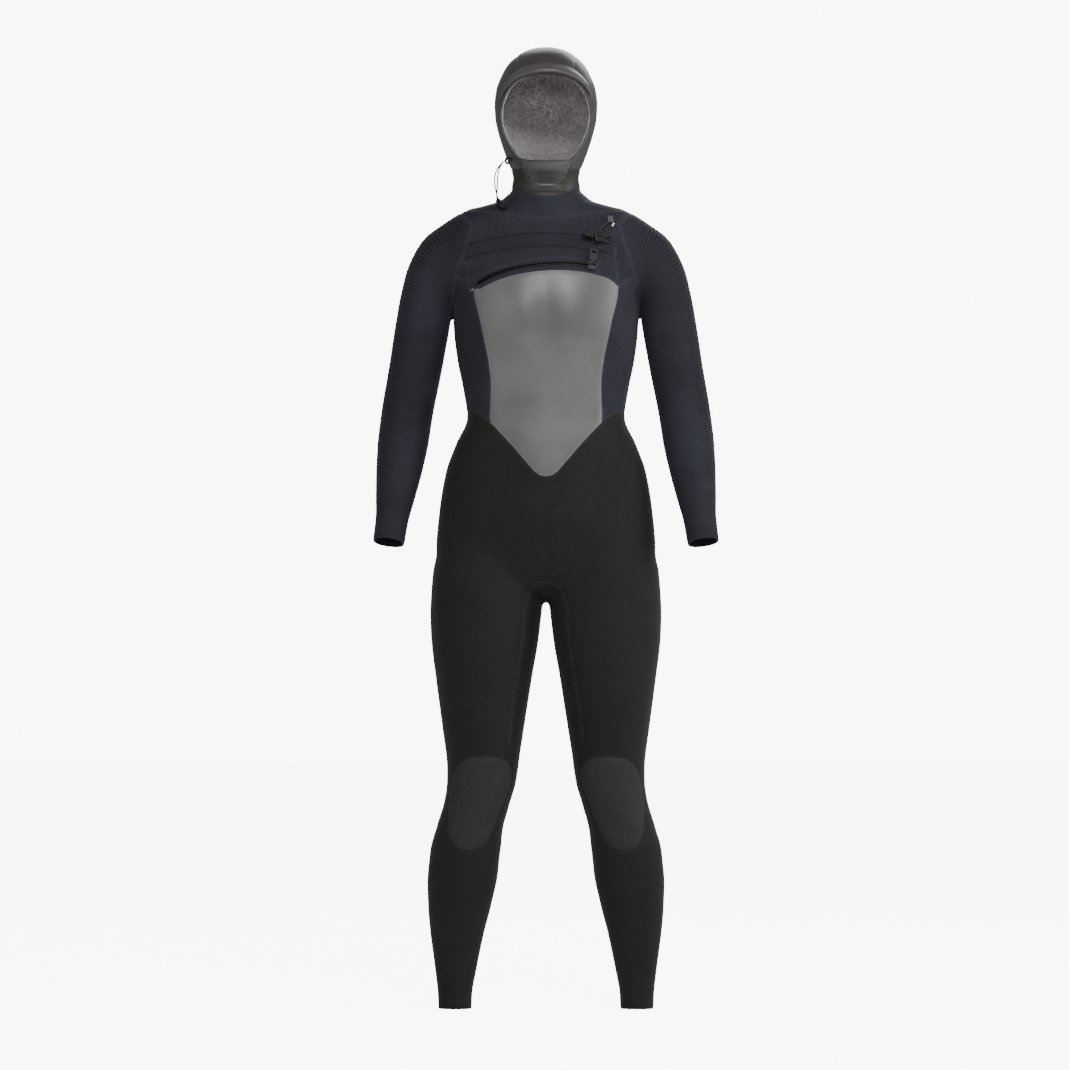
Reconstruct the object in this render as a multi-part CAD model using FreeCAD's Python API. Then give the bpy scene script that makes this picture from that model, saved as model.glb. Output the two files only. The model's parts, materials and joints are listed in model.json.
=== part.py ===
"""A hooded chest-zip full wetsuit, filled out as if worn: an assembly of panels and closure hardware.

Frame, in millimetres: the origin is the centre of the collar seam at the neck, +Z points up to the crown, the
chest faces -Y, and +X is the wearer's left. Every panel is neoprene of one wall. The panels of the trunk,
sleeves, legs and hood are cut from smooth tubes lofted through oval rings, so they meet edge to edge.
"""

import FreeCAD, Part
import math
import os
from FreeCAD import Vector

# Walls and overall sizes
WALL = 4.0
LINING = 2.0
PAD_THICKNESS = 2.0
RING_POINTS = 20
RING_POWER = 2.25
RING_PARAMETERS = [i / RING_POINTS for i in range(RING_POINTS + 1)]
FAR = 600.0

# Heights of the landmarks above the collar seam
CROWN_Z = 269.0
ARMPIT_Z = -100.0
WAIST_Z = -345.0
HIP_Z = -560.0
CROTCH_Z = -642.0
KNEE_Z = -972.0
CALF_Z = -1099.0
ANKLE_HEM_Z = -1326.0

# Half widths of the body at those landmarks
NECK_HALF_WIDTH = 54.5
HEAD_HALF_WIDTH = 85.5
CHEST_HALF_WIDTH = 158.0
WAIST_HALF_WIDTH = 131.0
HIP_HALF_WIDTH = 182.0
THIGH_HALF_WIDTH = 93.0
KNEE_HALF_WIDTH = 56.0
CALF_HALF_WIDTH = 58.5
ANKLE_HALF_WIDTH = 27.5
UPPER_ARM_RADIUS = 45.0
ELBOW_RADIUS = 43.0
WRIST_RADIUS = 26.5

# Lengths of the pieces along the limbs
ELBOW_HALF_SPAN = 66.0
KNEE_HALF_SPAN = 88.0
WRIST_CUFF_LENGTH = 38.0
ANKLE_CUFF_LENGTH = 42.0
ANKLE_TAIL = 10.0
JOINT_GAP = 0.3

# Arm line of the wearer's left arm
ARM_ROOT = Vector(105, 0, -66)
SHOULDER = Vector(158, 2, -84)
UPPER_ARM = Vector(197, 4, -150)
ELBOW = Vector(230, 12, -335)
WRIST = Vector(260, -56, -552)

# Chest zip: three points on the line of the teeth, and how far the chest leans back there
ZIP_CLOSED_END = Vector(76, -96.5, -95)
ZIP_MIDDLE = Vector(20, -103.5, -91)
ZIP_OPEN_END = Vector(-108, -95, -117)
ZIP_LEAN = math.radians(20)
TAPE_WIDTH_UP = 9.0
TAPE_WIDTH_DOWN = 12.0
TAPE_THICKNESS = 1.2
TOOTH_GAP = 1.3
TOOTH_HEIGHT = 1.5
TEETH_THICKNESS = 2.6
SLIDER_WIDTH = 17.0
SLIDER_CLEARANCE = 0.5
SLIDER_PLATE = 1.6
PULL_LENGTH = 26.0
PULL_WIDTH = 14.0
PULL_THICKNESS = 2.2
PIVOT_RADIUS = 1.4
PIVOT_CLEARANCE = 0.06
SLIDER_LENGTH = 14.0
SLIDER_UNDER_WIDTH = 11.0
EAR_THICKNESS = 2.0
EAR_HALF_HEIGHT = 2.4
EAR_OVER_PIVOT = 2.2
SLIDER_OVERLAP = 0.4
POST_CLEARANCE = 0.45
EYE_WIDTH = 7.0
EYE_RADIUS = 1.9
PIVOT_UP = 2.0
PIVOT_ABOVE_PLATE = 2.4
END_MARGIN = 12.0
STOP_LENGTH = 3.0
STOP_HEIGHT = 1.4
TEETH_MIDDLE = -1.8
SLOT_DEPTH_BELOW = -9.0
SLOT_DEPTH_ABOVE = 12.0

# Cords and their hardware
KEEPER_SIZE = (16.0, 6.0, 15.0)
HOOD_CORD_RADIUS = 1.2
CHEST_CORD_RADIUS = 0.9
LOCK_RADIUS = 4.4
LOCK_LENGTH = 15.0
HOOD_LOCK_LENGTH = 18.0
LOCK_TO_KEEPER_GAP = 2.0
BORE_SHARE = 0.55
BUTTON_TRAVEL = 3.0
BUTTON_RADIUS = 3.0
BUTTON_CLEARANCE = 0.1
BUTTON_FLOOR_GAP = 0.6
BUTTON_PROUD = 1.0
LOCK_ORIGIN = Vector(86, -82, -50)
LOCK_YAW = 22.0
LOCK_LEAN = 18.0
CORD_FACE_GAP = 0.3
KEEPER_SLOT_DEPTH = 0.6
KEEPER_SLOT_HEIGHT = 5.0
LOOP_TAB_PLACE = (27.0, 31.0)
LOOP_TAB_WIDTH = 10.0
LOOP_TAB_LENGTH = 12.0
LOOP_TAB_THICKNESS = 1.6
CRIMP_RADIUS = 2.0
CRIMP_LENGTH = 7.0
EYELET_RADIUS = 4.6
EYELET_THICKNESS = 1.9

# Inner bib behind the zip, hood binding and visor
BIB_DEPTH = 12.0
BIB_WALL = 2.0
BINDING_WIDTH = 4.0
BINDING_THICKNESS = 1.2
VISOR_STANDOFF = 11.0
VISOR_END_Z = 185.0
NECK_SEAM_Z = 66.0
CROWN_HALF_WIDTH = 48.0

os.makedirs("parts", exist_ok=True)
nodes = {}


def add(name, shape):
    """Keeps a finished piece under its node name."""
    nodes[name] = shape


def mirrored(shape):
    """The same piece on the other side of the body."""
    return shape.mirror(Vector(0, 0, 0), Vector(1, 0, 0))


def ring(centre, across, deep, half_width, front, back):
    """A smooth closed oval: half_width to each side, front towards -deep and back towards +deep."""
    points = []
    for i in range(RING_POINTS):
        angle = 2 * math.pi * i / RING_POINTS
        c, s = math.cos(angle), math.sin(angle)
        out = half_width * math.copysign(abs(c) ** (2 / RING_POWER), c)
        depth = (back if s > 0 else front) * math.copysign(abs(s) ** (2 / RING_POWER), s)
        points.append(centre + across * out + deep * depth)
    curve = Part.BSplineCurve()
    curve.interpolate(Points=points, PeriodicFlag=True, Parameters=RING_PARAMETERS)
    return Part.Wire([curve.toShape()])


def loft(rings):
    """A closed solid through the rings."""
    return Part.makeLoft(rings, True, False, False, 3)


def level_tube(rows, inset, first_rise=0.0, last_rise=0.0):
    """A loft through level ovals: rows of (z, centre, half width, front, back), made smaller by the inset."""
    rings = []
    rises = [first_rise] + [0] * (len(rows) - 2) + [last_rise]
    for (z, centre, half_width, front, back), rise in zip(rows, rises):
        rings.append(ring(Vector(centre, 0, z + rise), Vector(1, 0, 0), Vector(0, 1, 0),
                          half_width - inset, front - inset, back - inset))
    return loft(rings)


def prism(outline, y_from, y_to):
    """A block with this (x, z) outline seen from the front, from one depth to another."""
    points = [Vector(x, y_from, z) for x, z in outline]
    face = Part.Face(Part.makePolygon(points + [points[0]]))
    return face.extrude(Vector(0, y_to - y_from, 0))


def smooth_prism(outline, y_from, y_to):
    """The same with a smooth closed outline through the points."""
    curve = Part.BSplineCurve()
    curve.interpolate(Points=[Vector(x, y_from, z) for x, z in outline], PeriodicFlag=True)
    return Part.Face(Part.Wire([curve.toShape()])).extrude(Vector(0, y_to - y_from, 0))


def front(outline):
    return prism(outline, -FAR, 0)


def back(outline):
    return prism(outline, 0, FAR)


def both(outline):
    return prism(outline, -FAR, FAR)


def flipped(outline):
    """The outline mirrored left to right."""
    return [(-x, z) for x, z in outline]


def half_space(point, normal):
    """A large block on the side of the plane that the normal points to."""
    normal = Vector(normal).normalize()
    turn = FreeCAD.Rotation(Vector(0, 0, 1), normal)
    block = Part.makeBox(2 * FAR * 2, 2 * FAR * 2, 2 * FAR * 2, Vector(-2 * FAR, -2 * FAR, 0))
    block.Placement = FreeCAD.Placement(point, turn)
    return block


# Trunk: rows of (z, centre, half width, front, back), from the neck's foot to the crotch
TRUNK_ROWS = [
    (24, 0, NECK_HALF_WIDTH + 3, 52, 58),
    (14, 0, 77, 58, 70),
    (5, 0, 108, 62, 80),
    (-6, 0, 134, 66, 88),
    (-22, 0, 150, 73, 95),
    (-50, 0, CHEST_HALF_WIDTH, 86, 102),
    (ARMPIT_Z, 0, CHEST_HALF_WIDTH, 105, 106),
    (-150, 0, CHEST_HALF_WIDTH - 3, 114, 102),
    (-200, 0, CHEST_HALF_WIDTH - 5, 110, 96),
    (-250, 0, CHEST_HALF_WIDTH - 11, 102, 88),
    (-300, 0, WAIST_HALF_WIDTH + 6, 96, 80),
    (WAIST_Z, 0, WAIST_HALF_WIDTH, 94, 77),
    (-388, 0, WAIST_HALF_WIDTH + 18, 96, 85),
    (-435, 0, HIP_HALF_WIDTH - 16, 98, 102),
    (-500, 0, HIP_HALF_WIDTH - 5, 96, 118),
    (HIP_Z, 0, HIP_HALF_WIDTH, 88, 122),
    (HIP_Z - 40, 0, HIP_HALF_WIDTH - 3, 76, 114),
    (HIP_Z - 66, 0, HIP_HALF_WIDTH - 34, 58, 92),
    (CROTCH_Z, 0, HIP_HALF_WIDTH - 88, 28, 54),
]

# Hood and neck, from the foot of the neck inside the shoulders to the crown
HOOD_ROWS = [
    (-34, 0, NECK_HALF_WIDTH + 6, 58, 62),
    (0, 0, NECK_HALF_WIDTH + 5, 58, 61),
    (30, 0, NECK_HALF_WIDTH + 2, 57, 61),
    (50, 0, NECK_HALF_WIDTH, 61, 62),
    (65, 0, NECK_HALF_WIDTH + 3, 70, 66),
    (80, 0, NECK_HALF_WIDTH + 9, 82, 71),
    (96, 0, NECK_HALF_WIDTH + 15, 91, 79),
    (114, 0, HEAD_HALF_WIDTH - 10, 97, 89),
    (132, 0, HEAD_HALF_WIDTH - 5, 100, 96),
    (152, 0, HEAD_HALF_WIDTH - 1, 102, 102),
    (176, 0, HEAD_HALF_WIDTH, 103, 106),
    (200, 0, HEAD_HALF_WIDTH - 3, 102, 106),
    (221, 0, HEAD_HALF_WIDTH - 11, 98, 101),
    (239, 0, HEAD_HALF_WIDTH - 21, 88, 90),
    (254, 0, HEAD_HALF_WIDTH - 36, 70, 72),
    (264, 0, HEAD_HALF_WIDTH - 53, 46, 48),
    (CROWN_Z, 0, HEAD_HALF_WIDTH - 71, 20, 21),
]

# The wearer's left leg
LEG_ROWS = [
    (HIP_Z, 91, THIGH_HALF_WIDTH - 9, 74, 104),
    (HIP_Z - 40, 95.5, THIGH_HALF_WIDTH - 1, 82, 108),
    (CROTCH_Z - 10, 98.5, THIGH_HALF_WIDTH, 86, 100),
    (-705, 101, THIGH_HALF_WIDTH - 3, 86, 92),
    (-780, 103, THIGH_HALF_WIDTH - 13.5, 80, 82),
    (-860, 104, THIGH_HALF_WIDTH - 25, 72, 72),
    (-913, 104.5, KNEE_HALF_WIDTH + 4.5, 66, 64),
    (-950, 107, KNEE_HALF_WIDTH + 1.5, 64, 60),
    (-990, 116, KNEE_HALF_WIDTH - 1, 61, 58),
    (-1022, 125.5, KNEE_HALF_WIDTH - 0.5, 57, 60),
    (-1062, 133.5, CALF_HALF_WIDTH, 55, 65),
    (CALF_Z, 137.5, CALF_HALF_WIDTH, 53, 68),
    (-1152, 143, CALF_HALF_WIDTH - 5.5, 48, 64),
    (-1205, 147.5, ANKLE_HALF_WIDTH + 16.5, 40, 54),
    (-1258, 149.5, ANKLE_HALF_WIDTH + 7.5, 33, 46),
    (-1305, 151, ANKLE_HALF_WIDTH + 1, 30, 41),
    (ANKLE_HEM_Z, 151, ANKLE_HALF_WIDTH, 31, 41),
]


def arm_tube(inset, extra):
    """The arm from inside the trunk to the wrist, with the ends drawn out by extra."""
    upper_way = (ELBOW - UPPER_ARM).normalize()
    fore_way = (WRIST - ELBOW).normalize()
    bend_way = (upper_way + fore_way).normalize()
    stations = [
        (ARM_ROOT - Vector(extra, 0, 0), Vector(1, 0, -0.1), 66, 62),
        (SHOULDER, Vector(0.80, 0, -0.60), 57, 57),
        (Vector(185, 3, -114), Vector(0.50, 0, -0.87), UPPER_ARM_RADIUS + 3, 54),
        (UPPER_ARM, Vector(0.30, 0, -0.95), UPPER_ARM_RADIUS, 51),
        (Vector(206, 6, -200), upper_way, UPPER_ARM_RADIUS, 49),
        (Vector(217, 9, -265), upper_way, UPPER_ARM_RADIUS - 1, 46),
        (ELBOW, bend_way, ELBOW_RADIUS, 44),
        (ELBOW + (WRIST - ELBOW) * 0.20, fore_way, ELBOW_RADIUS - 0.5, 43.5),
        (ELBOW + (WRIST - ELBOW) * 0.42, fore_way, WRIST_RADIUS + 12.5, 41),
        (ELBOW + (WRIST - ELBOW) * 0.66, fore_way, WRIST_RADIUS + 6, 34),
        (WRIST - fore_way * (WRIST_CUFF_LENGTH - extra), fore_way, WRIST_RADIUS + 1, WRIST_RADIUS + 1),
    ]
    rings = []
    for centre, way, half_width, half_depth in stations:
        way = Vector(way).normalize()
        across = Vector(0, 1, 0).cross(way).normalize()
        deep = way.cross(across)
        if deep.y < 0:
            deep = deep * -1
        if across.x < 0:
            across = across * -1
        rings.append(ring(centre, across, deep, half_width - inset, half_depth - inset, half_depth - inset))
    return loft(rings)


trunk_outer = level_tube(TRUNK_ROWS, 0)
trunk_inner = level_tube(TRUNK_ROWS, WALL, -WALL, WALL)
hood_outer = level_tube(HOOD_ROWS, 0)
hood_inner = level_tube(HOOD_ROWS, WALL, -WALL, -WALL)
hood_lining_inner = level_tube(HOOD_ROWS, WALL + LINING, -WALL - LINING, -WALL - LINING)
leg_outer = level_tube(LEG_ROWS, 0)
leg_inner = level_tube(LEG_ROWS, WALL, WALL, -WALL)
arm_outer = arm_tube(0, 0)
arm_inner = arm_tube(WALL, WALL)

# Cuts between the trunk, the collar and the hood
COLLAR_FRONT = Vector(0, -58, -13)
COLLAR_SLOPE = Vector(0, -28, 133)
HOOD_JOIN_FRONT = Vector(0, -57, 23)
HOOD_JOIN_SLOPE = Vector(0, -22, 118)
above_collar = half_space(COLLAR_FRONT, COLLAR_SLOPE)
above_join = half_space(HOOD_JOIN_FRONT, HOOD_JOIN_SLOPE)

trunk_shell = trunk_outer.cut([trunk_inner, hood_inner, arm_inner, mirrored(arm_inner), leg_inner,
                               mirrored(leg_inner)])
hood_shell = hood_outer.cut([hood_inner, trunk_outer])
arm_shells = {
    "left": arm_outer.cut([arm_inner, trunk_outer]),
    "right": mirrored(arm_outer).cut([mirrored(arm_inner), trunk_outer]),
}
leg_shells = {
    "left": leg_outer.cut([leg_inner, trunk_outer]),
    "right": mirrored(leg_outer).cut([mirrored(leg_inner), trunk_outer]),
}
collar_source = trunk_shell.fuse(hood_shell).common(above_collar)
add("collar", collar_source.cut(above_join))
trunk_shell = trunk_shell.cut(above_collar)
hood_shell = hood_shell.common(above_join)

# The chest zip runs on a circle through its three points
zip_circle = Part.Arc(ZIP_CLOSED_END, ZIP_MIDDLE, ZIP_OPEN_END).toShape().Curve
ZIP_CENTRE = zip_circle.Center
ZIP_AXIS = zip_circle.Axis
ZIP_RADIUS = zip_circle.Radius
if (ZIP_MIDDLE - ZIP_CENTRE).cross(ZIP_OPEN_END - ZIP_CENTRE).dot(ZIP_AXIS) < 0:
    ZIP_AXIS = ZIP_AXIS * -1
ZIP_TRAVEL = math.degrees((ZIP_CLOSED_END - ZIP_CENTRE).getAngle(ZIP_OPEN_END - ZIP_CENTRE))
zip_radial = (ZIP_CLOSED_END - ZIP_CENTRE).normalize()
middle_radial = (ZIP_MIDDLE - ZIP_CENTRE).normalize()
chest_out = Vector(0, -math.cos(ZIP_LEAN), math.sin(ZIP_LEAN))
lean_radial, lean_axial = chest_out.dot(middle_radial), chest_out.dot(ZIP_AXIS)
zip_out = (zip_radial * lean_radial + ZIP_AXIS * lean_axial).normalize()
zip_along = ZIP_AXIS.cross(zip_radial)
zip_up = zip_out.cross(zip_along)
if zip_up.z < 0:
    zip_up = zip_up * -1


def arc_degrees(length):
    """The angle of a length along the zip."""
    return math.degrees(length / ZIP_RADIUS)


def zip_band(up_from, up_to, out_from, out_to, start, length):
    """A strip that follows the zip: its section in (up, out), from a start along the zip for a length."""
    corners = [(up_from, out_from), (up_to, out_from), (up_to, out_to), (up_from, out_to)]
    points = [ZIP_CLOSED_END + zip_up * u + zip_out * o for u, o in corners]
    face = Part.Face(Part.makePolygon(points + [points[0]]))
    face.rotate(ZIP_CENTRE, ZIP_AXIS, arc_degrees(start))
    return face.revolve(ZIP_CENTRE, ZIP_AXIS, arc_degrees(length))


zip_length = math.radians(ZIP_TRAVEL) * ZIP_RADIUS
slot_start, slot_length = -END_MARGIN, zip_length + 2 * END_MARGIN
tape_low, tape_high = TEETH_MIDDLE - TAPE_THICKNESS / 2, TEETH_MIDDLE + TAPE_THICKNESS / 2
teeth_low, teeth_high = TEETH_MIDDLE - TEETH_THICKNESS / 2, TEETH_MIDDLE + TEETH_THICKNESS / 2
teeth_edge = TOOTH_GAP + TOOTH_HEIGHT
zip_slot = zip_band(-TAPE_WIDTH_DOWN, TAPE_WIDTH_UP, SLOT_DEPTH_BELOW, SLOT_DEPTH_ABOVE,
                    slot_start, slot_length)
flap_relief = zip_band(TAPE_WIDTH_UP, TAPE_WIDTH_UP + PULL_LENGTH + 12, 0.2, 14, slot_start, slot_length)
trunk_shell = trunk_shell.cut(zip_slot)

# Seams of the trunk as seen from the front, (x, z)
ARMPIT_CORNER = (120, -129)
armpit_seam = [ARMPIT_CORNER, (163, ARMPIT_Z), (FAR, ARMPIT_Z)]
zip_seam = [(ZIP_OPEN_END.x - 18, ZIP_OPEN_END.z - 9), (ZIP_OPEN_END.x, ZIP_OPEN_END.z), (-56, -100.5),
            (0, -91.5), (ZIP_MIDDLE.x, ZIP_MIDDLE.z), (ZIP_CLOSED_END.x, ZIP_CLOSED_END.z), (100, -103),
            ARMPIT_CORNER]
flap_right_edge = [(-141, 40), (-143, -20), (-149, -45), (-143, -71), (-128, -91)]
flap_left_edge = [(114, -70), (113, -42), (120, -26), (134, -4), (134, 40)]
chest_side = [ARMPIT_CORNER, (118, -150), (110, -183), (103, -216), (96, -250), (91.5, -290), (93, -340),
              (92, WAIST_Z - 9)]
chest_tip = [(74, -373), (52, -397), (34, -418), (18, -436), (7, -442)]
waist_seam_front = [(FAR, WAIST_Z + 8), (131, WAIST_Z + 8), (113, WAIST_Z + 7), (92, WAIST_Z - 9)]
back_seam = [(115, -140), (104, -230), (94, WAIST_Z + 8)]
yoke_seam = [(70, 60), (88, 0), (115, -140)]

chest_outline = (zip_seam[::-1] + flipped(chest_side) + flipped(chest_tip) + chest_tip[::-1]
                 + chest_side[::-1][:-1])
add("chest_panel", trunk_shell.common(front(chest_outline)))
flap_outline = zip_seam + flap_left_edge + flap_right_edge
add("chest_flap", trunk_shell.common(front(flap_outline)).cut(flap_relief))

side_outline_front = chest_side[::-1] + armpit_seam[1:] + waist_seam_front[:-1]
side_outline_back = [back_seam[0]] + armpit_seam[1:] + [(FAR, WAIST_Z + 8)] + back_seam[:0:-1]
side_region = front(side_outline_front).fuse(back(side_outline_back))
add("side_panel_left", trunk_shell.common(side_region))
add("side_panel_right", trunk_shell.common(mirrored(side_region).cut(front(chest_outline))))

shoulder_front_left = [ARMPIT_CORNER] + flap_left_edge[:-1] + [(134, 60), (FAR, 60)] + armpit_seam[:0:-1]
shoulder_front_right = ([zip_seam[0]] + flap_right_edge[::-1] + [(-FAR, 40)] + flipped(armpit_seam[:0:-1])
                        + [(-ARMPIT_CORNER[0], ARMPIT_CORNER[1])])
shoulder_back = [yoke_seam[0], (FAR, 60)] + armpit_seam[:0:-1] + yoke_seam[:0:-1]
add("shoulder_left", trunk_shell.common(front(shoulder_front_left).fuse(back(shoulder_back))))
add("shoulder_right", trunk_shell.common(front(shoulder_front_right).fuse(back(flipped(shoulder_back)))))

yoke_outline = yoke_seam + flipped(yoke_seam)[::-1]
add("back_yoke", trunk_shell.common(back(yoke_outline)))
back_outline = back_seam + flipped(back_seam)[::-1]
add("back_panel", trunk_shell.common(back(back_outline)))

gusset_outline = [(38, -672), (31, -645), (24, -628), (12, -620), (0, -618)]
gusset_outline = gusset_outline + flipped(gusset_outline)[-2::-1]
lower_front = [(-FAR, WAIST_Z + 8)] + flipped(waist_seam_front[1:]) + flipped(chest_tip) + chest_tip[::-1]
lower_front = lower_front + waist_seam_front[::-1] + [(FAR, -FAR * 2), (-FAR, -FAR * 2)]
lower_back = [(-FAR, WAIST_Z + 8), (FAR, WAIST_Z + 8), (FAR, -FAR * 2), (-FAR, -FAR * 2)]
gusset_prism = both(gusset_outline)
add("hip_panel", trunk_shell.common(front(lower_front)).cut(gusset_prism))
add("seat_panel", trunk_shell.common(back(lower_back)).cut(gusset_prism))
add("crotch_gusset", trunk_shell.common(gusset_prism))

# Inner bib behind the zip
bib_outer = level_tube(TRUNK_ROWS, BIB_DEPTH, -BIB_DEPTH, BIB_DEPTH)
bib_inner = level_tube(TRUNK_ROWS, BIB_DEPTH + BIB_WALL, -BIB_DEPTH, BIB_DEPTH)
bib_outline = [(-112, -40), (112, -40), (104, -120), (60, -158), (-60, -158), (-104, -120)]
add("neck_barrier", bib_outer.cut(bib_inner).common(prism(bib_outline, -FAR, -30)))

# Zip
add("zip_tape_upper", zip_band(teeth_edge, TAPE_WIDTH_UP, tape_low, tape_high, slot_start, slot_length))
add("zip_tape_lower", zip_band(-TAPE_WIDTH_DOWN, -teeth_edge, tape_low, tape_high, slot_start, slot_length))
teeth_start, teeth_length = -SLIDER_LENGTH / 2, zip_length + SLIDER_LENGTH
upper_row = zip_band(TOOTH_GAP, teeth_edge, teeth_low, teeth_high, teeth_start, teeth_length)
lower_row = zip_band(-teeth_edge, -TOOTH_GAP, teeth_low, teeth_high, teeth_start, teeth_length)
add("zip_teeth", Part.makeCompound([upper_row, lower_row]))
stops = []
for start in (teeth_start - 0.5 - STOP_LENGTH, teeth_start + teeth_length + 0.5):
    stops.append(zip_band(-5, 5, tape_high, tape_high + STOP_HEIGHT, start, STOP_LENGTH))
add("zip_end_stops", Part.makeCompound(stops))


def zip_place(shape):
    """Puts a shape drawn with X along the zip, Y into the chest and Z up at the closed end of the zip."""
    x, y, z = zip_along * -1, zip_out * -1, zip_up
    matrix = FreeCAD.Matrix(x.x, y.x, z.x, ZIP_CLOSED_END.x, x.y, y.y, z.y, ZIP_CLOSED_END.y,
                            x.z, y.z, z.z, ZIP_CLOSED_END.z, 0, 0, 0, 1)
    placed = shape.copy()
    placed.Placement = FreeCAD.Placement(matrix)
    return placed


def box(x_from, x_to, y_from, y_to, z_from, z_to):
    return Part.makeBox(x_to - x_from, y_to - y_from, z_to - z_from, Vector(x_from, y_from, z_from))


half_slider = SLIDER_LENGTH / 2
plate_bottom = teeth_high + SLIDER_CLEARANCE
plate_top = plate_bottom + SLIDER_PLATE
lower_plate_top = teeth_low - SLIDER_CLEARANCE
PIVOT_OUT = plate_top + PIVOT_ABOVE_PLATE
ear_inner = EYE_WIDTH / 2 + 0.3
slider_top = box(-half_slider, half_slider, -plate_top, -plate_bottom, -SLIDER_WIDTH / 2, SLIDER_WIDTH / 2)
slider_top = slider_top.makeFillet(0.7, slider_top.Edges)
slider_bottom = box(-half_slider, half_slider, -lower_plate_top, -lower_plate_top + SLIDER_PLATE,
                    -SLIDER_UNDER_WIDTH / 2, SLIDER_UNDER_WIDTH / 2)
slider_post = box(half_slider - 3, half_slider - 0.8, -plate_bottom - SLIDER_OVERLAP,
                  -lower_plate_top + SLIDER_OVERLAP, -TOOTH_GAP + POST_CLEARANCE, TOOTH_GAP - POST_CLEARANCE)
slider = slider_top.fuse([slider_bottom, slider_post])
for side in (-1, 1):
    near, far_side = sorted((side * ear_inner, side * (ear_inner + EAR_THICKNESS)))
    ear = box(near, far_side, -PIVOT_OUT - EAR_OVER_PIVOT, -plate_top + SLIDER_OVERLAP,
              PIVOT_UP - EAR_HALF_HEIGHT, PIVOT_UP + EAR_HALF_HEIGHT)
    slider = slider.fuse(ear)
pin_start = Vector(-ear_inner - EAR_THICKNESS, -PIVOT_OUT, PIVOT_UP)
pin = Part.makeCylinder(PIVOT_RADIUS, 2 * (ear_inner + EAR_THICKNESS), pin_start, Vector(1, 0, 0))
add("zip_slider", zip_place(slider.fuse(pin)))

eye = Part.makeCylinder(EYE_RADIUS, EYE_WIDTH, Vector(-EYE_WIDTH / 2, -PIVOT_OUT, PIVOT_UP), Vector(1, 0, 0))
neck = box(-EYE_WIDTH / 2, EYE_WIDTH / 2, -PIVOT_OUT - PULL_THICKNESS / 2, -PIVOT_OUT + PULL_THICKNESS / 2,
           PIVOT_UP, PIVOT_UP + 7)
tab = box(-PULL_WIDTH / 2, PULL_WIDTH / 2, -PIVOT_OUT - PULL_THICKNESS / 2, -PIVOT_OUT + PULL_THICKNESS / 2,
          PIVOT_UP + 5, PIVOT_UP + PULL_LENGTH)
tab = tab.makeFillet(0.8, tab.Edges)
window = box(-4, 4, -PIVOT_OUT - PULL_THICKNESS, -PIVOT_OUT + PULL_THICKNESS, PIVOT_UP + PULL_LENGTH - 8,
             PIVOT_UP + PULL_LENGTH - 4)
bore_start = Vector(-EYE_WIDTH / 2 - 1, -PIVOT_OUT, PIVOT_UP)
bore = Part.makeCylinder(PIVOT_RADIUS + PIVOT_CLEARANCE, EYE_WIDTH + 2, bore_start, Vector(1, 0, 0))
pull = eye.fuse([neck, tab]).cut([window, bore])
add("zip_pull_tab", zip_place(pull))
PULL_PIVOT = ZIP_CLOSED_END + zip_up * PIVOT_UP + zip_out * PIVOT_OUT

# Chest lock beside the zip, drawn with X along the chest, Y into it and Z up
lock_turn = FreeCAD.Rotation(Vector(0, 0, 1), LOCK_YAW).multiply(FreeCAD.Rotation(Vector(1, 0, 0), -LOCK_LEAN))
lock_placement = FreeCAD.Placement(LOCK_ORIGIN, lock_turn)


def lock_place(shape):
    placed = shape.copy()
    placed.Placement = lock_placement.multiply(placed.Placement)
    return placed


def lock_point(x, y, z):
    return lock_placement.multVec(Vector(x, y, z))


def cord_tube(points, radius, name):
    """A tube of straight runs joined by the largest arcs that the runs allow."""
    edges = []
    length = 0
    radii = []
    start = points[0]
    for before, corner, after in zip(points, points[1:], points[2:]):
        way_in, way_out = (corner - before).normalize(), (after - corner).normalize()
        turn = way_in.getAngle(way_out)
        shorter = min(before.distanceToPoint(corner), corner.distanceToPoint(after))
        arc_radius = 0.45 * shorter / math.tan(turn / 2)
        back_off = 0.45 * shorter
        into, out_of = corner - way_in * back_off, corner + way_out * back_off
        middle = corner + (way_out - way_in).normalize() * (arc_radius / math.cos(turn / 2) - arc_radius)
        edges.append(Part.LineSegment(start, into).toShape())
        edges.append(Part.Arc(into, middle, out_of).toShape())
        length += start.distanceToPoint(into) + arc_radius * turn
        radii.append(round(arc_radius / (2 * radius), 1))
        start = out_of
    edges.append(Part.LineSegment(start, points[-1]).toShape())
    length += start.distanceToPoint(points[-1])
    section = Part.Wire([Part.makeCircle(radius, points[0], points[1] - points[0])])
    tube = Part.Wire(edges).makePipeShell([section], True, False)
    print(name, "length", round(length, 1), "radii in diameters", radii,
          "volume ratio", round(tube.Volume / (math.pi * radius ** 2 * length), 4))
    return tube


def cord_lock(start, way, radius, length):
    """A barrel cord lock and its sprung button, which sits in a bore at the far end."""
    way = Vector(way).normalize()
    bore_radius = BUTTON_RADIUS + BUTTON_CLEARANCE
    barrel = Part.makeCylinder(radius, length, start, way)
    barrel = barrel.makeFillet(1.0, [e for e in barrel.Edges if e.Curve.TypeId == "Part::GeomCircle"])
    bore_depth = length * BORE_SHARE
    bore_cut = Part.makeCylinder(bore_radius, bore_depth + 1, start + way * (length - bore_depth), way)
    button_length = bore_depth - BUTTON_FLOOR_GAP + BUTTON_PROUD
    button_start = start + way * (length - bore_depth + BUTTON_TRAVEL + BUTTON_FLOOR_GAP)
    button = Part.makeCylinder(BUTTON_RADIUS, button_length, button_start, way)
    return barrel.cut(bore_cut), button


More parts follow.
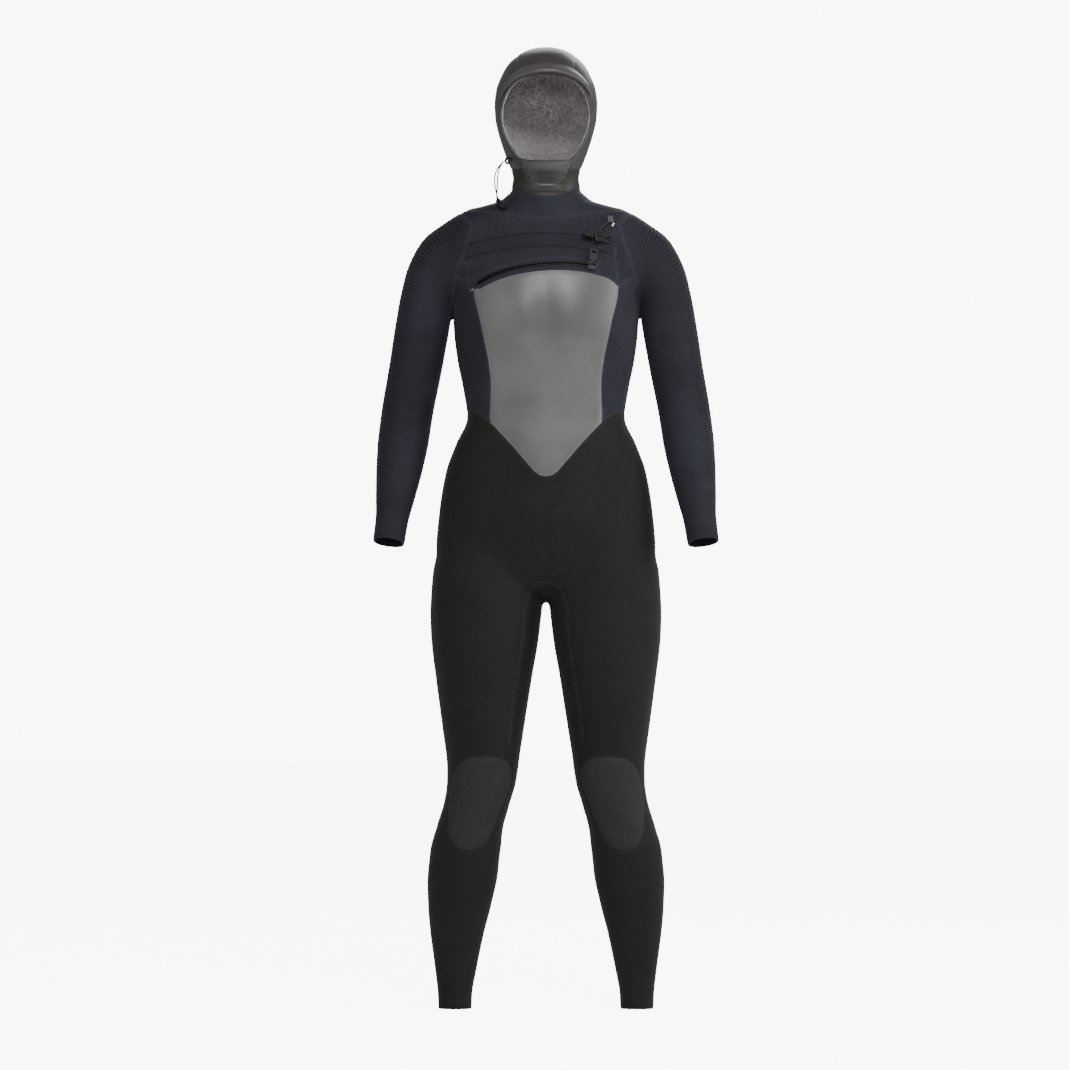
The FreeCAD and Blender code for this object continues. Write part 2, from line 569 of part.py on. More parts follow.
keeper_w, keeper_d, keeper_h = KEEPER_SIZE
keeper = box(-keeper_w / 2, keeper_w / 2, -keeper_d - 1, -1, -keeper_h / 2, keeper_h / 2)
keeper = keeper.makeFillet(1.5, keeper.Edges)
keeper_slot = box(-keeper_w / 2 + 3, keeper_w / 2 - 3, -keeper_d - 2, -keeper_d + KEEPER_SLOT_DEPTH,
                  -KEEPER_SLOT_HEIGHT / 2, KEEPER_SLOT_HEIGHT / 2)
add("closure_keeper", lock_place(keeper.cut(keeper_slot)))
toggle_start = Vector(-keeper_w / 2 - LOCK_TO_KEEPER_GAP, -5.4, 2)
toggle_way = Vector(-1, 0.12, 0.30)
barrel, button = cord_lock(toggle_start, toggle_way, LOCK_RADIUS, LOCK_LENGTH)
add("closure_cord_lock", lock_place(barrel))
add("closure_lock_button", lock_place(button))
CHEST_BUTTON_WAY = lock_turn.multVec(toggle_way.normalize() * -1)

tab_x, tab_z = LOOP_TAB_PLACE
loop_tab = box(tab_x - LOOP_TAB_WIDTH / 2, tab_x + LOOP_TAB_WIDTH / 2, 0.4, 0.4 + LOOP_TAB_THICKNESS,
               tab_z - LOOP_TAB_LENGTH / 4, tab_z + 3 * LOOP_TAB_LENGTH / 4)
add("closure_loop_tab", lock_place(loop_tab.makeFillet(0.6, loop_tab.Edges)))
crimp = Part.makeCylinder(CRIMP_RADIUS, CRIMP_LENGTH, Vector(26, -1.6, 20.5), Vector(0.6, 0, 0.8))
add("closure_crimp", lock_place(crimp.makeFillet(0.5, crimp.Edges[:1])))
cord_top, cord_side = keeper_h / 2 + CORD_FACE_GAP, keeper_w / 2 + CORD_FACE_GAP
diagonal_route = [(4, -3, cord_top), (5.6, -3.6, 14), (13, -3.8, 22.5), (21, -2.4, 27.5),
                  (tab_x - 1, -1.2, tab_z - 2.5)]
loop_route = [(cord_side, -3, 3.4), (16, -3.8, 4.6), (24.2, -3.4, 2.9), (28.2, -2.8, -3.0),
              (23.2, -3.4, -8.6), (15.2, -3.8, -7.2), (cord_side, -3, -4.6)]
diagonal_points = [lock_point(*p) for p in diagonal_route]
loop_points = [lock_point(*p) for p in loop_route]
add("closure_cord_diagonal", cord_tube(diagonal_points, CHEST_CORD_RADIUS, "closure_cord_diagonal"))
add("closure_cord_loop", cord_tube(loop_points, CHEST_CORD_RADIUS, "closure_cord_loop"))

# Hood panels
face_half = [(38, 216), (62, 198), (75, 168), (75, 140), (66, 112), (54, 92), (44, 80), (30, 77.5)]
face_outline = [(0, 220)] + face_half + [(0, 77)] + flipped(face_half)[::-1]


def grown(outline, by, centre=(0, 148)):
    """The outline moved outward from its centre."""
    points = []
    for x, z in outline:
        dx, dz = x - centre[0], z - centre[1]
        size = math.hypot(dx, dz)
        points.append((x + dx / size * by, z + dz / size * by))
    return points


face_cut = smooth_prism(face_outline, -FAR, -12)
hood_front_shell = hood_shell.cut(face_cut)
crown = CROWN_HALF_WIDTH
crown_region = prism([(-crown, 190), (crown, 190), (crown, 300), (-crown, 300)], -FAR, 0).fuse(
    prism([(-crown, 74), (crown, 74), (crown, 300), (-crown, 300)], 0, FAR))
neck_region = prism([(-FAR, -60), (FAR, -60), (FAR, NECK_SEAM_Z), (34, NECK_SEAM_Z), (30, 40), (-30, 40),
                     (-34, NECK_SEAM_Z), (-FAR, NECK_SEAM_Z)], -FAR, 0).fuse(
    prism([(-FAR, -60), (FAR, -60), (FAR, NECK_SEAM_Z), (-FAR, NECK_SEAM_Z)], 0, FAR))
chin_outline = [(34, NECK_SEAM_Z), (30, 40), (-30, 40), (-34, NECK_SEAM_Z), (-40, 100), (40, 100)]
chin_region = prism(chin_outline, -FAR, 0)
left_half = box(0, FAR, -FAR, FAR, -FAR, FAR)
right_half = box(-FAR, 0, -FAR, FAR, -FAR, FAR)
add("hood_neck", hood_front_shell.common(neck_region))
add("hood_chin_panel", hood_front_shell.common(chin_region))
add("hood_crown", hood_front_shell.common(crown_region).common(box(-FAR, FAR, -FAR, FAR, 74, FAR)))
hood_sides = hood_front_shell.cut([neck_region, chin_region, crown_region])
add("hood_side_left", hood_sides.common(left_half))
add("hood_side_right", hood_sides.common(right_half))
lining_cut = smooth_prism(grown(face_outline, 1.0), -FAR, -12)
hood_lining = hood_inner.cut([hood_lining_inner, lining_cut]).common(above_join)
add("hood_lining", hood_lining)
binding_skin = level_tube(HOOD_ROWS, -BINDING_THICKNESS)
binding_ring = smooth_prism(grown(face_outline, BINDING_WIDTH), -FAR, -12).cut(face_cut)
visor_skin = level_tube(HOOD_ROWS, -VISOR_STANDOFF)
visor_top = [(26, 233), (50, 224), (70, 209), (82, 190)]
visor_bottom = [(74, 186), (62, 200), (44, 214), (24, 220)]
visor_outline = (flipped(visor_top)[::-1] + [(0, 236)] + visor_top + visor_bottom + [(0, 222)]
                 + flipped(visor_bottom)[::-1])
visor_prism = prism(visor_outline, -FAR, -14)
add("hood_visor", visor_skin.common(visor_prism).cut(hood_outer))
below_visor = box(-FAR, FAR, -FAR, FAR, 0, VISOR_END_Z)
add("hood_face_binding", binding_skin.common(binding_ring).common(below_visor).cut(hood_outer))

# Hood drawcord at the wearer's right jaw
EYELET = Vector(-63, -34, 80)
EYELET_WAY = Vector(-0.80, -0.60, 0)
eyelet = Part.makeTorus(EYELET_RADIUS, EYELET_THICKNESS, EYELET + EYELET_WAY * 1.2, EYELET_WAY)
add("hood_cord_eyelet", eyelet.cut(hood_outer))
lock_start = Vector(-80, -51, 14)
lock_end = Vector(-62.5, -69, -9)
hood_lock_way = (lock_end - lock_start).normalize()
barrel, button = cord_lock(lock_start, hood_lock_way, LOCK_RADIUS, HOOD_LOCK_LENGTH)
add("hood_cord_lock", barrel)
add("hood_cord_lock_button", button)
front_strand = [Vector(-69, -41, 79), Vector(-77, -47, 72), Vector(-84, -50, 59), Vector(-85.5, -50.5, 44),
                Vector(-83, -50, 29), Vector(-79.5, -51.6, 16.2)]
back_strand = [Vector(-71, -36, 78), Vector(-77, -38, 69), Vector(-80, -40.5, 56), Vector(-80.5, -43.5, 43),
               Vector(-80.8, -46.5, 29), Vector(-81.5, -48.2, 15.8)]
add("hood_drawcord_front", cord_tube(front_strand, HOOD_CORD_RADIUS, "hood_drawcord_front"))
add("hood_drawcord_back", cord_tube(back_strand, HOOD_CORD_RADIUS, "hood_drawcord_back"))

# Sleeves: the upper sleeve ends and the forearm begins a span away from the elbow
upper_way = (ELBOW - UPPER_ARM).normalize()
fore_way = (WRIST - ELBOW).normalize()
below_upper = half_space(ELBOW - upper_way * ELBOW_HALF_SPAN, upper_way)
below_band = half_space(ELBOW + fore_way * ELBOW_HALF_SPAN, fore_way)
below_band_gap = half_space(ELBOW + fore_way * (ELBOW_HALF_SPAN + JOINT_GAP), fore_way)
cuff_start = WRIST - fore_way * WRIST_CUFF_LENGTH
cuff_outside = Part.makeCylinder(WRIST_RADIUS, WRIST_CUFF_LENGTH, cuff_start, fore_way)
cuff_inside = Part.makeCylinder(WRIST_RADIUS - WALL, WRIST_CUFF_LENGTH, cuff_start, fore_way)
cuff = cuff_outside.cut(cuff_inside)


def on_side(shape, side):
    """A shape drawn for the wearer's left, on the side asked for."""
    return shape if side == "left" else mirrored(shape)


for side, shell in arm_shells.items():
    above, band_end = on_side(below_upper, side), on_side(below_band, side)
    add("sleeve_upper_" + side, shell.cut(above))
    add("elbow_" + side, shell.common(above).cut(band_end))
    add("forearm_" + side, shell.common(on_side(below_band_gap, side)))
    add("wrist_cuff_" + side, on_side(cuff, side))

# Legs
knee_top, knee_bottom = KNEE_Z + KNEE_HALF_SPAN, KNEE_Z - KNEE_HALF_SPAN


def slab(z_from, z_to):
    return box(-FAR, FAR, -FAR, FAR, z_from, z_to)


inner_thigh_outline = [(-20, -600), (22, -630), (34, -662), (37, -700), (48, -780), (58, -840),
                       (60, knee_top), (-20, knee_top)]
inner_thigh_region = both(inner_thigh_outline)
pad_outline = [(100, -906), (134, -912), (153, -936), (161, -985), (161, -1026), (150, -1054),
               (130, -1062), (108, -1054), (92, -1034), (74, -990), (58, -944), (66, -914)]
pad_skin = level_tube(LEG_ROWS, -PAD_THICKNESS)
ankle_top = ANKLE_HEM_Z + ANKLE_CUFF_LENGTH
pad = pad_skin.common(smooth_prism(pad_outline, -FAR, 0)).cut(leg_outer)
for side, shell in leg_shells.items():
    inner_region = on_side(inner_thigh_region, side)
    add("thigh_" + side, shell.common(slab(knee_top, 0)).cut(inner_region))
    add("inner_thigh_" + side, shell.common(inner_region))
    add("knee_" + side, shell.common(slab(knee_bottom, knee_top)))
    add("knee_pad_" + side, on_side(pad, side))
    add("shin_" + side, shell.common(slab(ankle_top, knee_bottom - JOINT_GAP)))
    add("ankle_cuff_" + side, shell.common(slab(ANKLE_HEM_Z - ANKLE_TAIL, ankle_top)))

for name, shape in nodes.items():
    solids = shape.Solids
    if len(solids) != 1 or not shape.isValid():
        print("note", name, "solids", [round(s.Volume, 1) for s in solids], "valid", shape.isValid())
    shape = solids[0] if len(solids) == 1 else Part.makeCompound(solids)
    shape.exportStep("parts/" + name + ".step")


def show(vector, scale=1.0):
    return [round(c * scale, 6) for c in vector]


print(len(nodes), "pieces")
print("zip centre", show(ZIP_CENTRE, 0.001), "axis", show(ZIP_AXIS), "radius", round(ZIP_RADIUS, 2),
      "travel", round(ZIP_TRAVEL, 3))
print("pull pivot", show(PULL_PIVOT, 0.001), "axis", show(zip_up.cross(zip_out)))
print("chest button way", show(CHEST_BUTTON_WAY), "hood button way", show(hood_lock_way * -1))
print("elbow", show(ELBOW, 0.001), "wrist", show(WRIST, 0.001), "way", show(fore_way))
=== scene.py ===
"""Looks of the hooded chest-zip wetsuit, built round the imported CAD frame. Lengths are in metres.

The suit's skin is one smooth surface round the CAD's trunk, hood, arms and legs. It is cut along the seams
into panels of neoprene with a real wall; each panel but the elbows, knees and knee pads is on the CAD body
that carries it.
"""

import json
import math

import bmesh
import bpy
import numpy as np
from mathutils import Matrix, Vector


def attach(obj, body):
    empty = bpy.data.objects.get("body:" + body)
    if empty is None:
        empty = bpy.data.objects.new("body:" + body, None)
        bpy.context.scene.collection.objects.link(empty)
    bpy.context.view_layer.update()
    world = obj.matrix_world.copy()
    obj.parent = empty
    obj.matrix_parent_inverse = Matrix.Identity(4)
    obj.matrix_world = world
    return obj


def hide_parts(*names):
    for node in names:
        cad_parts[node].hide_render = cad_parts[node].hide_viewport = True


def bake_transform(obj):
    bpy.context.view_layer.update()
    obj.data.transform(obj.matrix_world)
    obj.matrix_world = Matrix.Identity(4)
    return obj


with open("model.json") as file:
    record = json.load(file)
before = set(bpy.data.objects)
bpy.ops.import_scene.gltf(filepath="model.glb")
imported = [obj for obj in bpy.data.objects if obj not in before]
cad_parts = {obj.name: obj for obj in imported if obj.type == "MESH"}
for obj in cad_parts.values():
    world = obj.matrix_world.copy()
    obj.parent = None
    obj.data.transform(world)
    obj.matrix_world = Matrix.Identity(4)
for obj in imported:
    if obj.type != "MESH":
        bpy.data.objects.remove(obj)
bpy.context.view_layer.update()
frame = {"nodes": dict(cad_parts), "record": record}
MM = 0.001

# ---------------------------------------------------------------- body shape
POWER = 2.25          # roundness of every oval
WALL = 0.0035         # neoprene
CELL = 0.0045         # first spacing of the skin's points
FAR = 0.2             # stands for "far away" where a distance isn't worked out
OUTSIDE = 0.02        # the same for the fields that cut the skin
ARM_STEP = 0.001      # spacing of the points along the arm's line
PAST_END = 0.0015     # how far past the arm's end a point still belongs to it
FIT = 0.9             # share of a step taken when a point is moved to its place along the arm

# Rows of the level ovals: height, centre, half width, depth to the front, depth to the back, in mm
TRUNK = [
    (30, 0, 40, 40, 44), (24, 0, 57, 52, 58), (14, 0, 77, 58, 70), (5, 0, 108, 62, 80),
    (-6, 0, 134, 66, 88), (-22, 0, 150, 73, 95), (-50, 0, 158, 86, 102), (-100, 0, 158, 105, 106),
    (-150, 0, 155, 114, 102),
    (-200, 0, 153, 110, 96), (-250, 0, 147, 102, 88), (-300, 0, 137, 96, 80), (-345, 0, 131, 94, 77),
    (-388, 0, 149, 96, 85), (-435, 0, 166, 98, 102), (-500, 0, 177, 96, 118), (-560, 0, 182, 88, 122),
    (-600, 0, 179, 76, 114), (-626, 0, 148, 58, 92), (-642, 0, 94, 28, 54)]
HOOD = [
    (-34, 0, 60.5, 58, 62), (0, 0, 59.5, 58, 61), (30, 0, 56.5, 57, 61), (50, 0, 54.5, 61, 62),
    (65, 0, 57.5, 70, 66), (80, 0, 63.5, 82, 71), (96, 0, 69.5, 91, 79), (114, 0, 75.5, 97, 89),
    (132, 0, 80.5, 100, 96), (152, 0, 84.5, 102, 102), (176, 0, 85.5, 103, 106), (200, 0, 82.5, 102, 106),
    (221, 0, 74.5, 98, 101), (239, 0, 64.5, 88, 90), (254, 0, 49.5, 70, 72), (264, 0, 32.5, 46, 48),
    (269, 0, 14.5, 20, 21), (270, 0, 4, 6, 6)]
LEG = [
    (-560, 91, 84, 74, 104), (-600, 95.5, 92, 82, 108), (-652, 98.5, 93, 86, 100), (-705, 101, 90, 86, 92),
    (-780, 103, 79.5, 80, 82), (-860, 104, 68, 72, 72), (-913, 104.5, 60.5, 66, 64),
    (-950, 107, 57.5, 64, 60),
    (-990, 116, 55, 61, 58), (-1022, 125.5, 55.5, 57, 60), (-1062, 133.5, 58.5, 55, 65),
    (-1099, 137.5, 58.5, 53, 68), (-1152, 143, 53, 48, 64), (-1205, 147.5, 44, 40, 54),
    (-1258, 149.5, 35, 33, 46), (-1305, 151, 28.5, 30, 41), (-1340, 151, 27.5, 31, 41)]
# Soft swells of the front: place across and up, width, height, and how far out, in metres
SWELLS = [
    (0.048, -0.184, 0.048, 0.050, 0.0085), (0.0, -0.178, 0.026, 0.060, -0.0020),
    (0.0, -0.330, 0.070, 0.075, 0.003), (0.0, 0.066, 0.028, 0.014, 0.0075),
    (0.0, 0.040, 0.034, 0.008, -0.0060)]
# The arm's line: centre x, y, z, then half width and half depth, in mm
ARM = [
    (105, 0, -66, 62, 60), (158, 2, -84, 57, 57), (185, 3, -114, 48, 54), (197, 4, -150, 45, 51),
    (206, 6, -200, 45, 49), (217, 9, -265, 44, 46), (230, 12, -335, 43, 44), (236, -1.6, -378.4, 42.5, 43.5),
    (242.6, -16.6, -426.1, 39, 41), (249.8, -32.9, -478.2, 32.5, 34), (255.0, -44.7, -516.1, 27.5, 27.5),
    (260, -56, -552, 26.5, 26.5), (261.3, -59, -561.5, 26.5, 26.5)]


def rows_at(rows, z):
    """The oval's centre, half width, front and back at each height, by a smooth curve through the rows."""
    table = np.array(rows, float)[np.argsort([r[0] for r in rows])] * MM
    at, values = table[:, 0], table[:, 1:]
    steps = np.diff(at)[:, None]
    slopes = np.diff(values, axis=0) / steps
    tangents = np.zeros_like(values)
    same_way = slopes[:-1] * slopes[1:] > 0
    mean = 2 * slopes[:-1] * slopes[1:] / np.where(same_way, slopes[:-1] + slopes[1:], 1)
    tangents[1:-1] = np.where(same_way, mean, 0)
    tangents[0], tangents[-1] = slopes[0], slopes[-1]
    i = np.clip(np.searchsorted(at, z) - 1, 0, len(at) - 2)
    h = (at[i + 1] - at[i])[:, None]
    t = np.clip((z[:, None] - at[i][:, None]) / h, 0, 1)
    return ((2 * t ** 3 - 3 * t ** 2 + 1) * values[i] + (t ** 3 - 2 * t ** 2 + t) * h * tangents[i]
            + (3 * t ** 2 - 2 * t ** 3) * values[i + 1] + (t ** 3 - t ** 2) * h * tangents[i + 1])


def oval_distance(across, deep, half_width, half_depth):
    """How far outside an oval a point is, measured along the line to its centre."""
    size = np.hypot(across, deep) + 1e-9
    q = ((np.abs(across) / half_width) ** POWER + (np.abs(deep) / half_depth) ** POWER) ** (1 / POWER) + 1e-9
    return size * (1 - 1 / q)


def level_distance(p, rows):
    c, a, f, b = rows_at(rows, p[:, 2]).T
    d = oval_distance(p[:, 0] - c, p[:, 1], a, np.where(p[:, 1] < 0, f, b))
    low, high = min(r[0] for r in rows) * MM, max(r[0] for r in rows) * MM
    past = np.maximum(np.maximum(low - p[:, 2], p[:, 2] - high), 0)
    return np.where(past > 0, np.hypot(np.maximum(d, 0), past), d)


def arm_line():
    """Points, sections and frames every millimetre along the left arm."""
    keys = np.array(ARM, float) * MM
    along = np.concatenate([[0], np.cumsum(np.linalg.norm(np.diff(keys[:, :3], axis=0), axis=1))])
    rows = [(s / MM, *(k / MM)) for s, k in zip(along, keys)]
    at = np.arange(0, along[-1], ARM_STEP)
    values = rows_at(rows, at)
    way = np.gradient(values[:, :3], axis=0)
    way /= np.linalg.norm(way, axis=1)[:, None]
    across = np.cross(way, np.array([0, -1.0, 0]))
    across /= np.linalg.norm(across, axis=1)[:, None]
    return at, values, way, across, np.cross(way, across)


ARM_LINE = arm_line()


def arm_place(p):
    """For points near the left arm: the place along it in metres, and the offsets across and deep."""
    at, values, way, across, deep = ARM_LINE
    best = np.zeros(len(p), int)
    coarse = values[::8, :3]
    for i in range(0, len(p), 200000):
        q = p[i:i + 200000]
        d = (q ** 2).sum(1)[:, None] - 2 * q @ coarse.T + (coarse ** 2).sum(1)[None]
        best[i:i + 200000] = d.argmin(1) * 8
    for _ in range(3):
        off = ((p - values[best, :3]) * way[best]).sum(1)
        best = np.clip(best + np.round(off / ARM_STEP * FIT).astype(int), 0, len(at) - 1)
    v = p - values[best, :3]
    past = (v * way[best]).sum(1)
    return best, (v * across[best]).sum(1), (v * deep[best]).sum(1), past


def arm_distance(p):
    best, u, v, past = arm_place(p)
    values = ARM_LINE[1][best]
    d = oval_distance(u, v, values[:, 3], values[:, 4])
    over = np.where((best == 0) | (best == len(ARM_LINE[0]) - 1), np.abs(past), 0)
    return np.where(over > PAST_END, np.hypot(np.maximum(d, 0), over), d)


def smooth_min(a, b, k):
    h = np.clip(0.5 + 0.5 * (b - a) / k, 0, 1)
    return b * (1 - h) + a * h - k * h * (1 - h)


def ramp(x, low, high):
    t = np.clip((x - low) / (high - low), 0, 1)
    return t * t * (3 - 2 * t)


def body_distance(p):
    """The whole suit's outer surface is where this is 0. It is the same on both sides of the body."""
    q = p.copy()
    q[:, 0] = np.abs(q[:, 0])
    z = q[:, 2]
    far = np.full(len(q), FAR)
    d_trunk, d_hood, d_leg, d_arm = far.copy(), far.copy(), far.copy(), far.copy()
    parts = ((d_trunk, TRUNK, -0.72, 0.08), (d_hood, HOOD, -0.06, 0.3), (d_leg, LEG, -1.4, -0.5))
    for d, rows, low, high in parts:
        near = (z > low) & (z < high)
        d[near] = level_distance(q[near], rows)
    near = (z < 0.07) & (z > -0.6) & (q[:, 0] > 0.07)
    d_arm[near] = arm_distance(q[near])
    other_leg = far.copy()
    near = (z < -0.5) & (q[:, 0] < 0.06)
    flip = q[near] * np.array([-1, 1, 1])
    other_leg[near] = level_distance(flip, LEG)
    legs = smooth_min(d_leg, other_leg, 0.010)
    middle_blend = np.exp(-(q[:, 0] / 0.05) ** 2) * ramp(z, -0.70, -0.60)
    lower = smooth_min(d_trunk, legs, 0.006 + 0.040 * middle_blend)
    upper = smooth_min(lower, d_hood, 0.030)
    whole = smooth_min(upper, d_arm, 0.005 + 0.027 * ramp(z, -0.175, -0.09))
    front = ramp(-q[:, 1], 0.0, 0.05)
    return whole - front * sum(height * np.exp(-((q[:, 0] - x) / wide) ** 2 - ((z - at) / tall) ** 2)
                               for x, at, wide, tall, height in SWELLS)


def gradient(p):
    e = 0.0004
    steps = np.eye(3) * e
    return np.stack([body_distance(p + step) - body_distance(p - step) for step in steps], 1) / (2 * e)


def settle(p, rounds=3):
    """Moves points onto the surface."""
    for _ in range(rounds):
        g = gradient(p)
        size = np.maximum((g ** 2).sum(1), 0.05)
        p = p - g * np.clip(body_distance(p) / size, -0.006, 0.006)[:, None]
    return p


def extract(low, high, cell):
    """The surface inside a box as quads, one point to each cell that it crosses."""
    counts = np.ceil((high - low) / cell).astype(int) + 1
    axes = [low[i] + np.arange(counts[i]) * cell for i in range(3)]
    grid = np.stack(np.meshgrid(*axes, indexing="ij"), -1).reshape(-1, 3)
    value = body_distance(grid).reshape(counts)
    inside = value < 0
    corners = [(i, j, k) for i in (0, 1) for j in (0, 1) for k in (0, 1)]
    cells = tuple(n - 1 for n in counts)

    def corner(a, c):
        return a[c[0]:c[0] + cells[0], c[1]:c[1] + cells[1], c[2]:c[2] + cells[2]]

    total = sum(corner(inside, c).astype(int) for c in corners)
    active = (total > 0) & (total < 8)
    index = -np.ones(cells, int)
    index[active] = np.arange(active.sum())
    where = np.argwhere(active)
    sums, hits = np.zeros((len(where), 3)), np.zeros(len(where))
    for c in corners:
        for axis in range(3):
            if c[axis]:
                continue
            d = list(c)
            d[axis] = 1
            va, vb = corner(value, c)[active], corner(value, tuple(d))[active]
            cross = (va < 0) != (vb < 0)
            t = np.where(cross, va / np.where(cross, va - vb, 1), 0)
            point = np.tile(np.array(c, float), (len(where), 1))
            point[:, axis] += t
            sums += point * cross[:, None]
            hits += cross
    points = low + (where + sums / hits[:, None]) * cell
    quads = []
    for axis in range(3):
        u, v = (axis + 1) % 3, (axis + 2) % 3
        corner_of = np.array([0 if i == axis else 1 for i in range(3)])
        a = inside[tuple(slice(1, cells[i]) if i != axis else slice(0, cells[i]) for i in range(3))]
        b = inside[tuple(slice(1, cells[i]) if i != axis else slice(1, cells[i] + 1) for i in range(3))]
        at = np.argwhere(a != b) + corner_of
        ids = []
        for du, dv in ((0, 0), (1, 0), (1, 1), (0, 1)):
            c = at.copy()
            c[:, u] -= du
            c[:, v] -= dv
            ids.append(index[c[:, 0], c[:, 1], c[:, 2]])
        quad = np.stack(ids, 1)
        flip = ~a[tuple((at - corner_of).T)]
        quad[flip] = quad[flip][:, ::-1]
        quads.append(quad)
    quads = np.concatenate(quads)
    return points, quads[(quads >= 0).all(1)]


# ---------------------------------------------------------------- seams, in mm as seen from the front
def smooth(points, steps=8):
    """A dense smooth curve through the points, ends kept, in metres."""
    p = np.array(points, float) * MM
    p = np.vstack([2 * p[0] - p[1], p, 2 * p[-1] - p[-2]])
    out = []
    for a, b, c, d in zip(p, p[1:], p[2:], p[3:]):
        for t in np.arange(steps) / steps:
            out.append(0.5 * (2 * b + (c - a) * t + (2 * a - 5 * b + 4 * c - d) * t ** 2
                              + (3 * b - a - 3 * c + d) * t ** 3))
    return np.array(out + [p[-2]])


def mirror(curve):
    return curve * np.array([-1, 1])


def straight(points):
    return np.array(points, float) * MM


band_seam = smooth([(-126, -138), (-113, -133), (-98, -125), (-70, -115.5), (-20, -106), (18, -103.5),
                    (60, -106.5), (96, -114.5), (112, -123), (120, -131)])
flap_right = smooth([(-141, 40), (-143, -20), (-149, -45), (-143, -71), (-130, -100), (-126, -126)])
flap_left = smooth([(120, -129), (114, -70), (113, -42), (120, -26), (134, -4), (134, 40)])
chest_side = smooth([(120, -129), (118, -150), (110, -183), (103, -216), (96, -250), (91.5, -290),
                     (93, -340), (92, -354)])
chest_tip = smooth([(92, -354), (74, -373), (52, -397), (34, -418), (18, -436), (7, -442), (0, -443)])
armpit = straight([(120, -129), (163, -100), (230, -100)])
waist = straight([(230, -337), (131, -337), (113, -338), (92, -354)])
back_seam = smooth([(115, -140), (104, -230), (94, -337)])
yoke = straight([(70, 60), (88, 0), (115, -140)])
OUTLINES = {
    "flap": np.vstack([band_seam, flap_left, flap_right]),
    "chest": np.vstack([band_seam[::-1], mirror(chest_side), mirror(chest_tip), chest_tip[::-1],
                        chest_side[::-1]]),
    "side_front": np.vstack([chest_side[::-1], armpit, waist]),
    "side_back": np.vstack([armpit, straight([(230, -337)]), back_seam[::-1]]),
    "yoke": np.vstack([yoke, mirror(yoke)[::-1]]),
    "lower": np.vstack([mirror(waist), mirror(chest_tip), chest_tip[::-1], waist[::-1],
                        straight([(230, -1500), (-230, -1500)])]),
    "gusset": np.vstack([smooth([(38, -672), (31, -645), (24, -628), (12, -620), (0, -618), (-12, -620),
                                 (-24, -628), (-31, -645), (-38, -672)]), straight([(0, -700)])]),
    "inner_thigh": np.vstack([smooth([(22, -626), (34, -662), (37, -700), (48, -780), (58, -840),
                                      (60, -884)]), straight([(0, -884), (0, -626)])]),
    "knee_pad": smooth([(100, -906), (134, -912), (153, -936), (161, -985), (161, -1026), (150, -1054),
                        (130, -1062), (108, -1054), (92, -1034), (74, -990), (58, -944), (66, -914),
                        (100, -906)]),
    "chin": smooth([(47, 100), (42, 80), (37, 62), (28, 47), (14, 40), (0, 39), (-14, 40), (-28, 47),
                    (-37, 62), (-42, 80), (-47, 100)]),
}
face_side = smooth([(0, 220), (38, 216), (62, 198), (75, 168), (75, 140), (66, 112), (54, 92), (44, 80)])
face_foot = straight([(30, 77.3), (0, 76.8), (-30, 77.3)])
OUTLINES["face"] = np.vstack([face_side, face_foot, mirror(face_side)[::-1]])


def outline_distance(p, name):
    """Distance in the front view from a closed outline, negative inside it. Far points get a rough value."""
    outline = OUTLINES[name]
    q = p[:, [0, 2]]
    low, high = outline.min(0) - OUTSIDE, outline.max(0) + OUTSIDE
    near = ((q > low) & (q < high)).all(1)
    out = np.full(len(p), OUTSIDE)
    q = q[near]
    best, inside = np.full(len(q), 1.0), np.zeros(len(q), bool)
    for a, b in zip(outline, np.roll(outline, -1, 0)):
        ab = b - a
        size = ab @ ab
        if size < 1e-14:
            continue
        t = np.clip(((q - a) @ ab) / size, 0, 1)
        best = np.minimum(best, ((q - a - t[:, None] * ab) ** 2).sum(1))
        crosses = (a[1] > q[:, 1]) != (b[1] > q[:, 1])
        if a[1] != b[1]:
            inside ^= crosses & (q[:, 0] < a[0] + ab[0] * (q[:, 1] - a[1]) / ab[1])
    out[near] = np.sqrt(best) * np.where(inside, -1, 1)
    return out


def folded(p):
    return np.stack([np.abs(p[:, 0]), p[:, 1], p[:, 2]], 1)


def plane(point, way):
    point, way = np.array(point, float) * MM, np.array(way, float)
    way /= np.linalg.norm(way)
    return lambda p: (p - point) @ way


COLLAR_BOW, JOIN_BOW = 1.5, 3.0      # how much the seams rise towards the sides, per metre squared
collar_plane = plane((0, -58, -13), (0, -28, 133))
join_plane = plane((0, -57, 23), (0, -22, 118))


def bowed(level, bow):
    """A plane's field that rises towards the sides at the front."""
    return lambda p: level(p) - bow * np.minimum(np.abs(p[:, 0]), 0.06) ** 2 * ramp(-p[:, 1], 0.0, 0.03)


above_collar, above_join = bowed(collar_plane, COLLAR_BOW), bowed(join_plane, JOIN_BOW)
ELBOW, WRIST = np.array([0.230, 0.012, -0.335]), np.array([0.260, -0.056, -0.552])
UPPER = np.array([0.197, 0.004, -0.150])
ELBOW_HALF_SPAN, CUFF_LENGTH = 0.066, 0.038
upper_way = (ELBOW - UPPER) / np.linalg.norm(ELBOW - UPPER)
fore_way = (WRIST - ELBOW) / np.linalg.norm(WRIST - ELBOW)
BAND_START, BAND_END = ELBOW - upper_way * ELBOW_HALF_SPAN, ELBOW + fore_way * ELBOW_HALF_SPAN
band_way = (BAND_END - BAND_START) / np.linalg.norm(BAND_END - BAND_START)
KNEE_TOP, KNEE_BOTTOM = -0.884, -1.060
CUFF_TOP, HEM = -1.284, -1.326
WAIST, NECK_SEAM, CROWN_HALF_WIDTH = -0.337, 0.066, 0.048

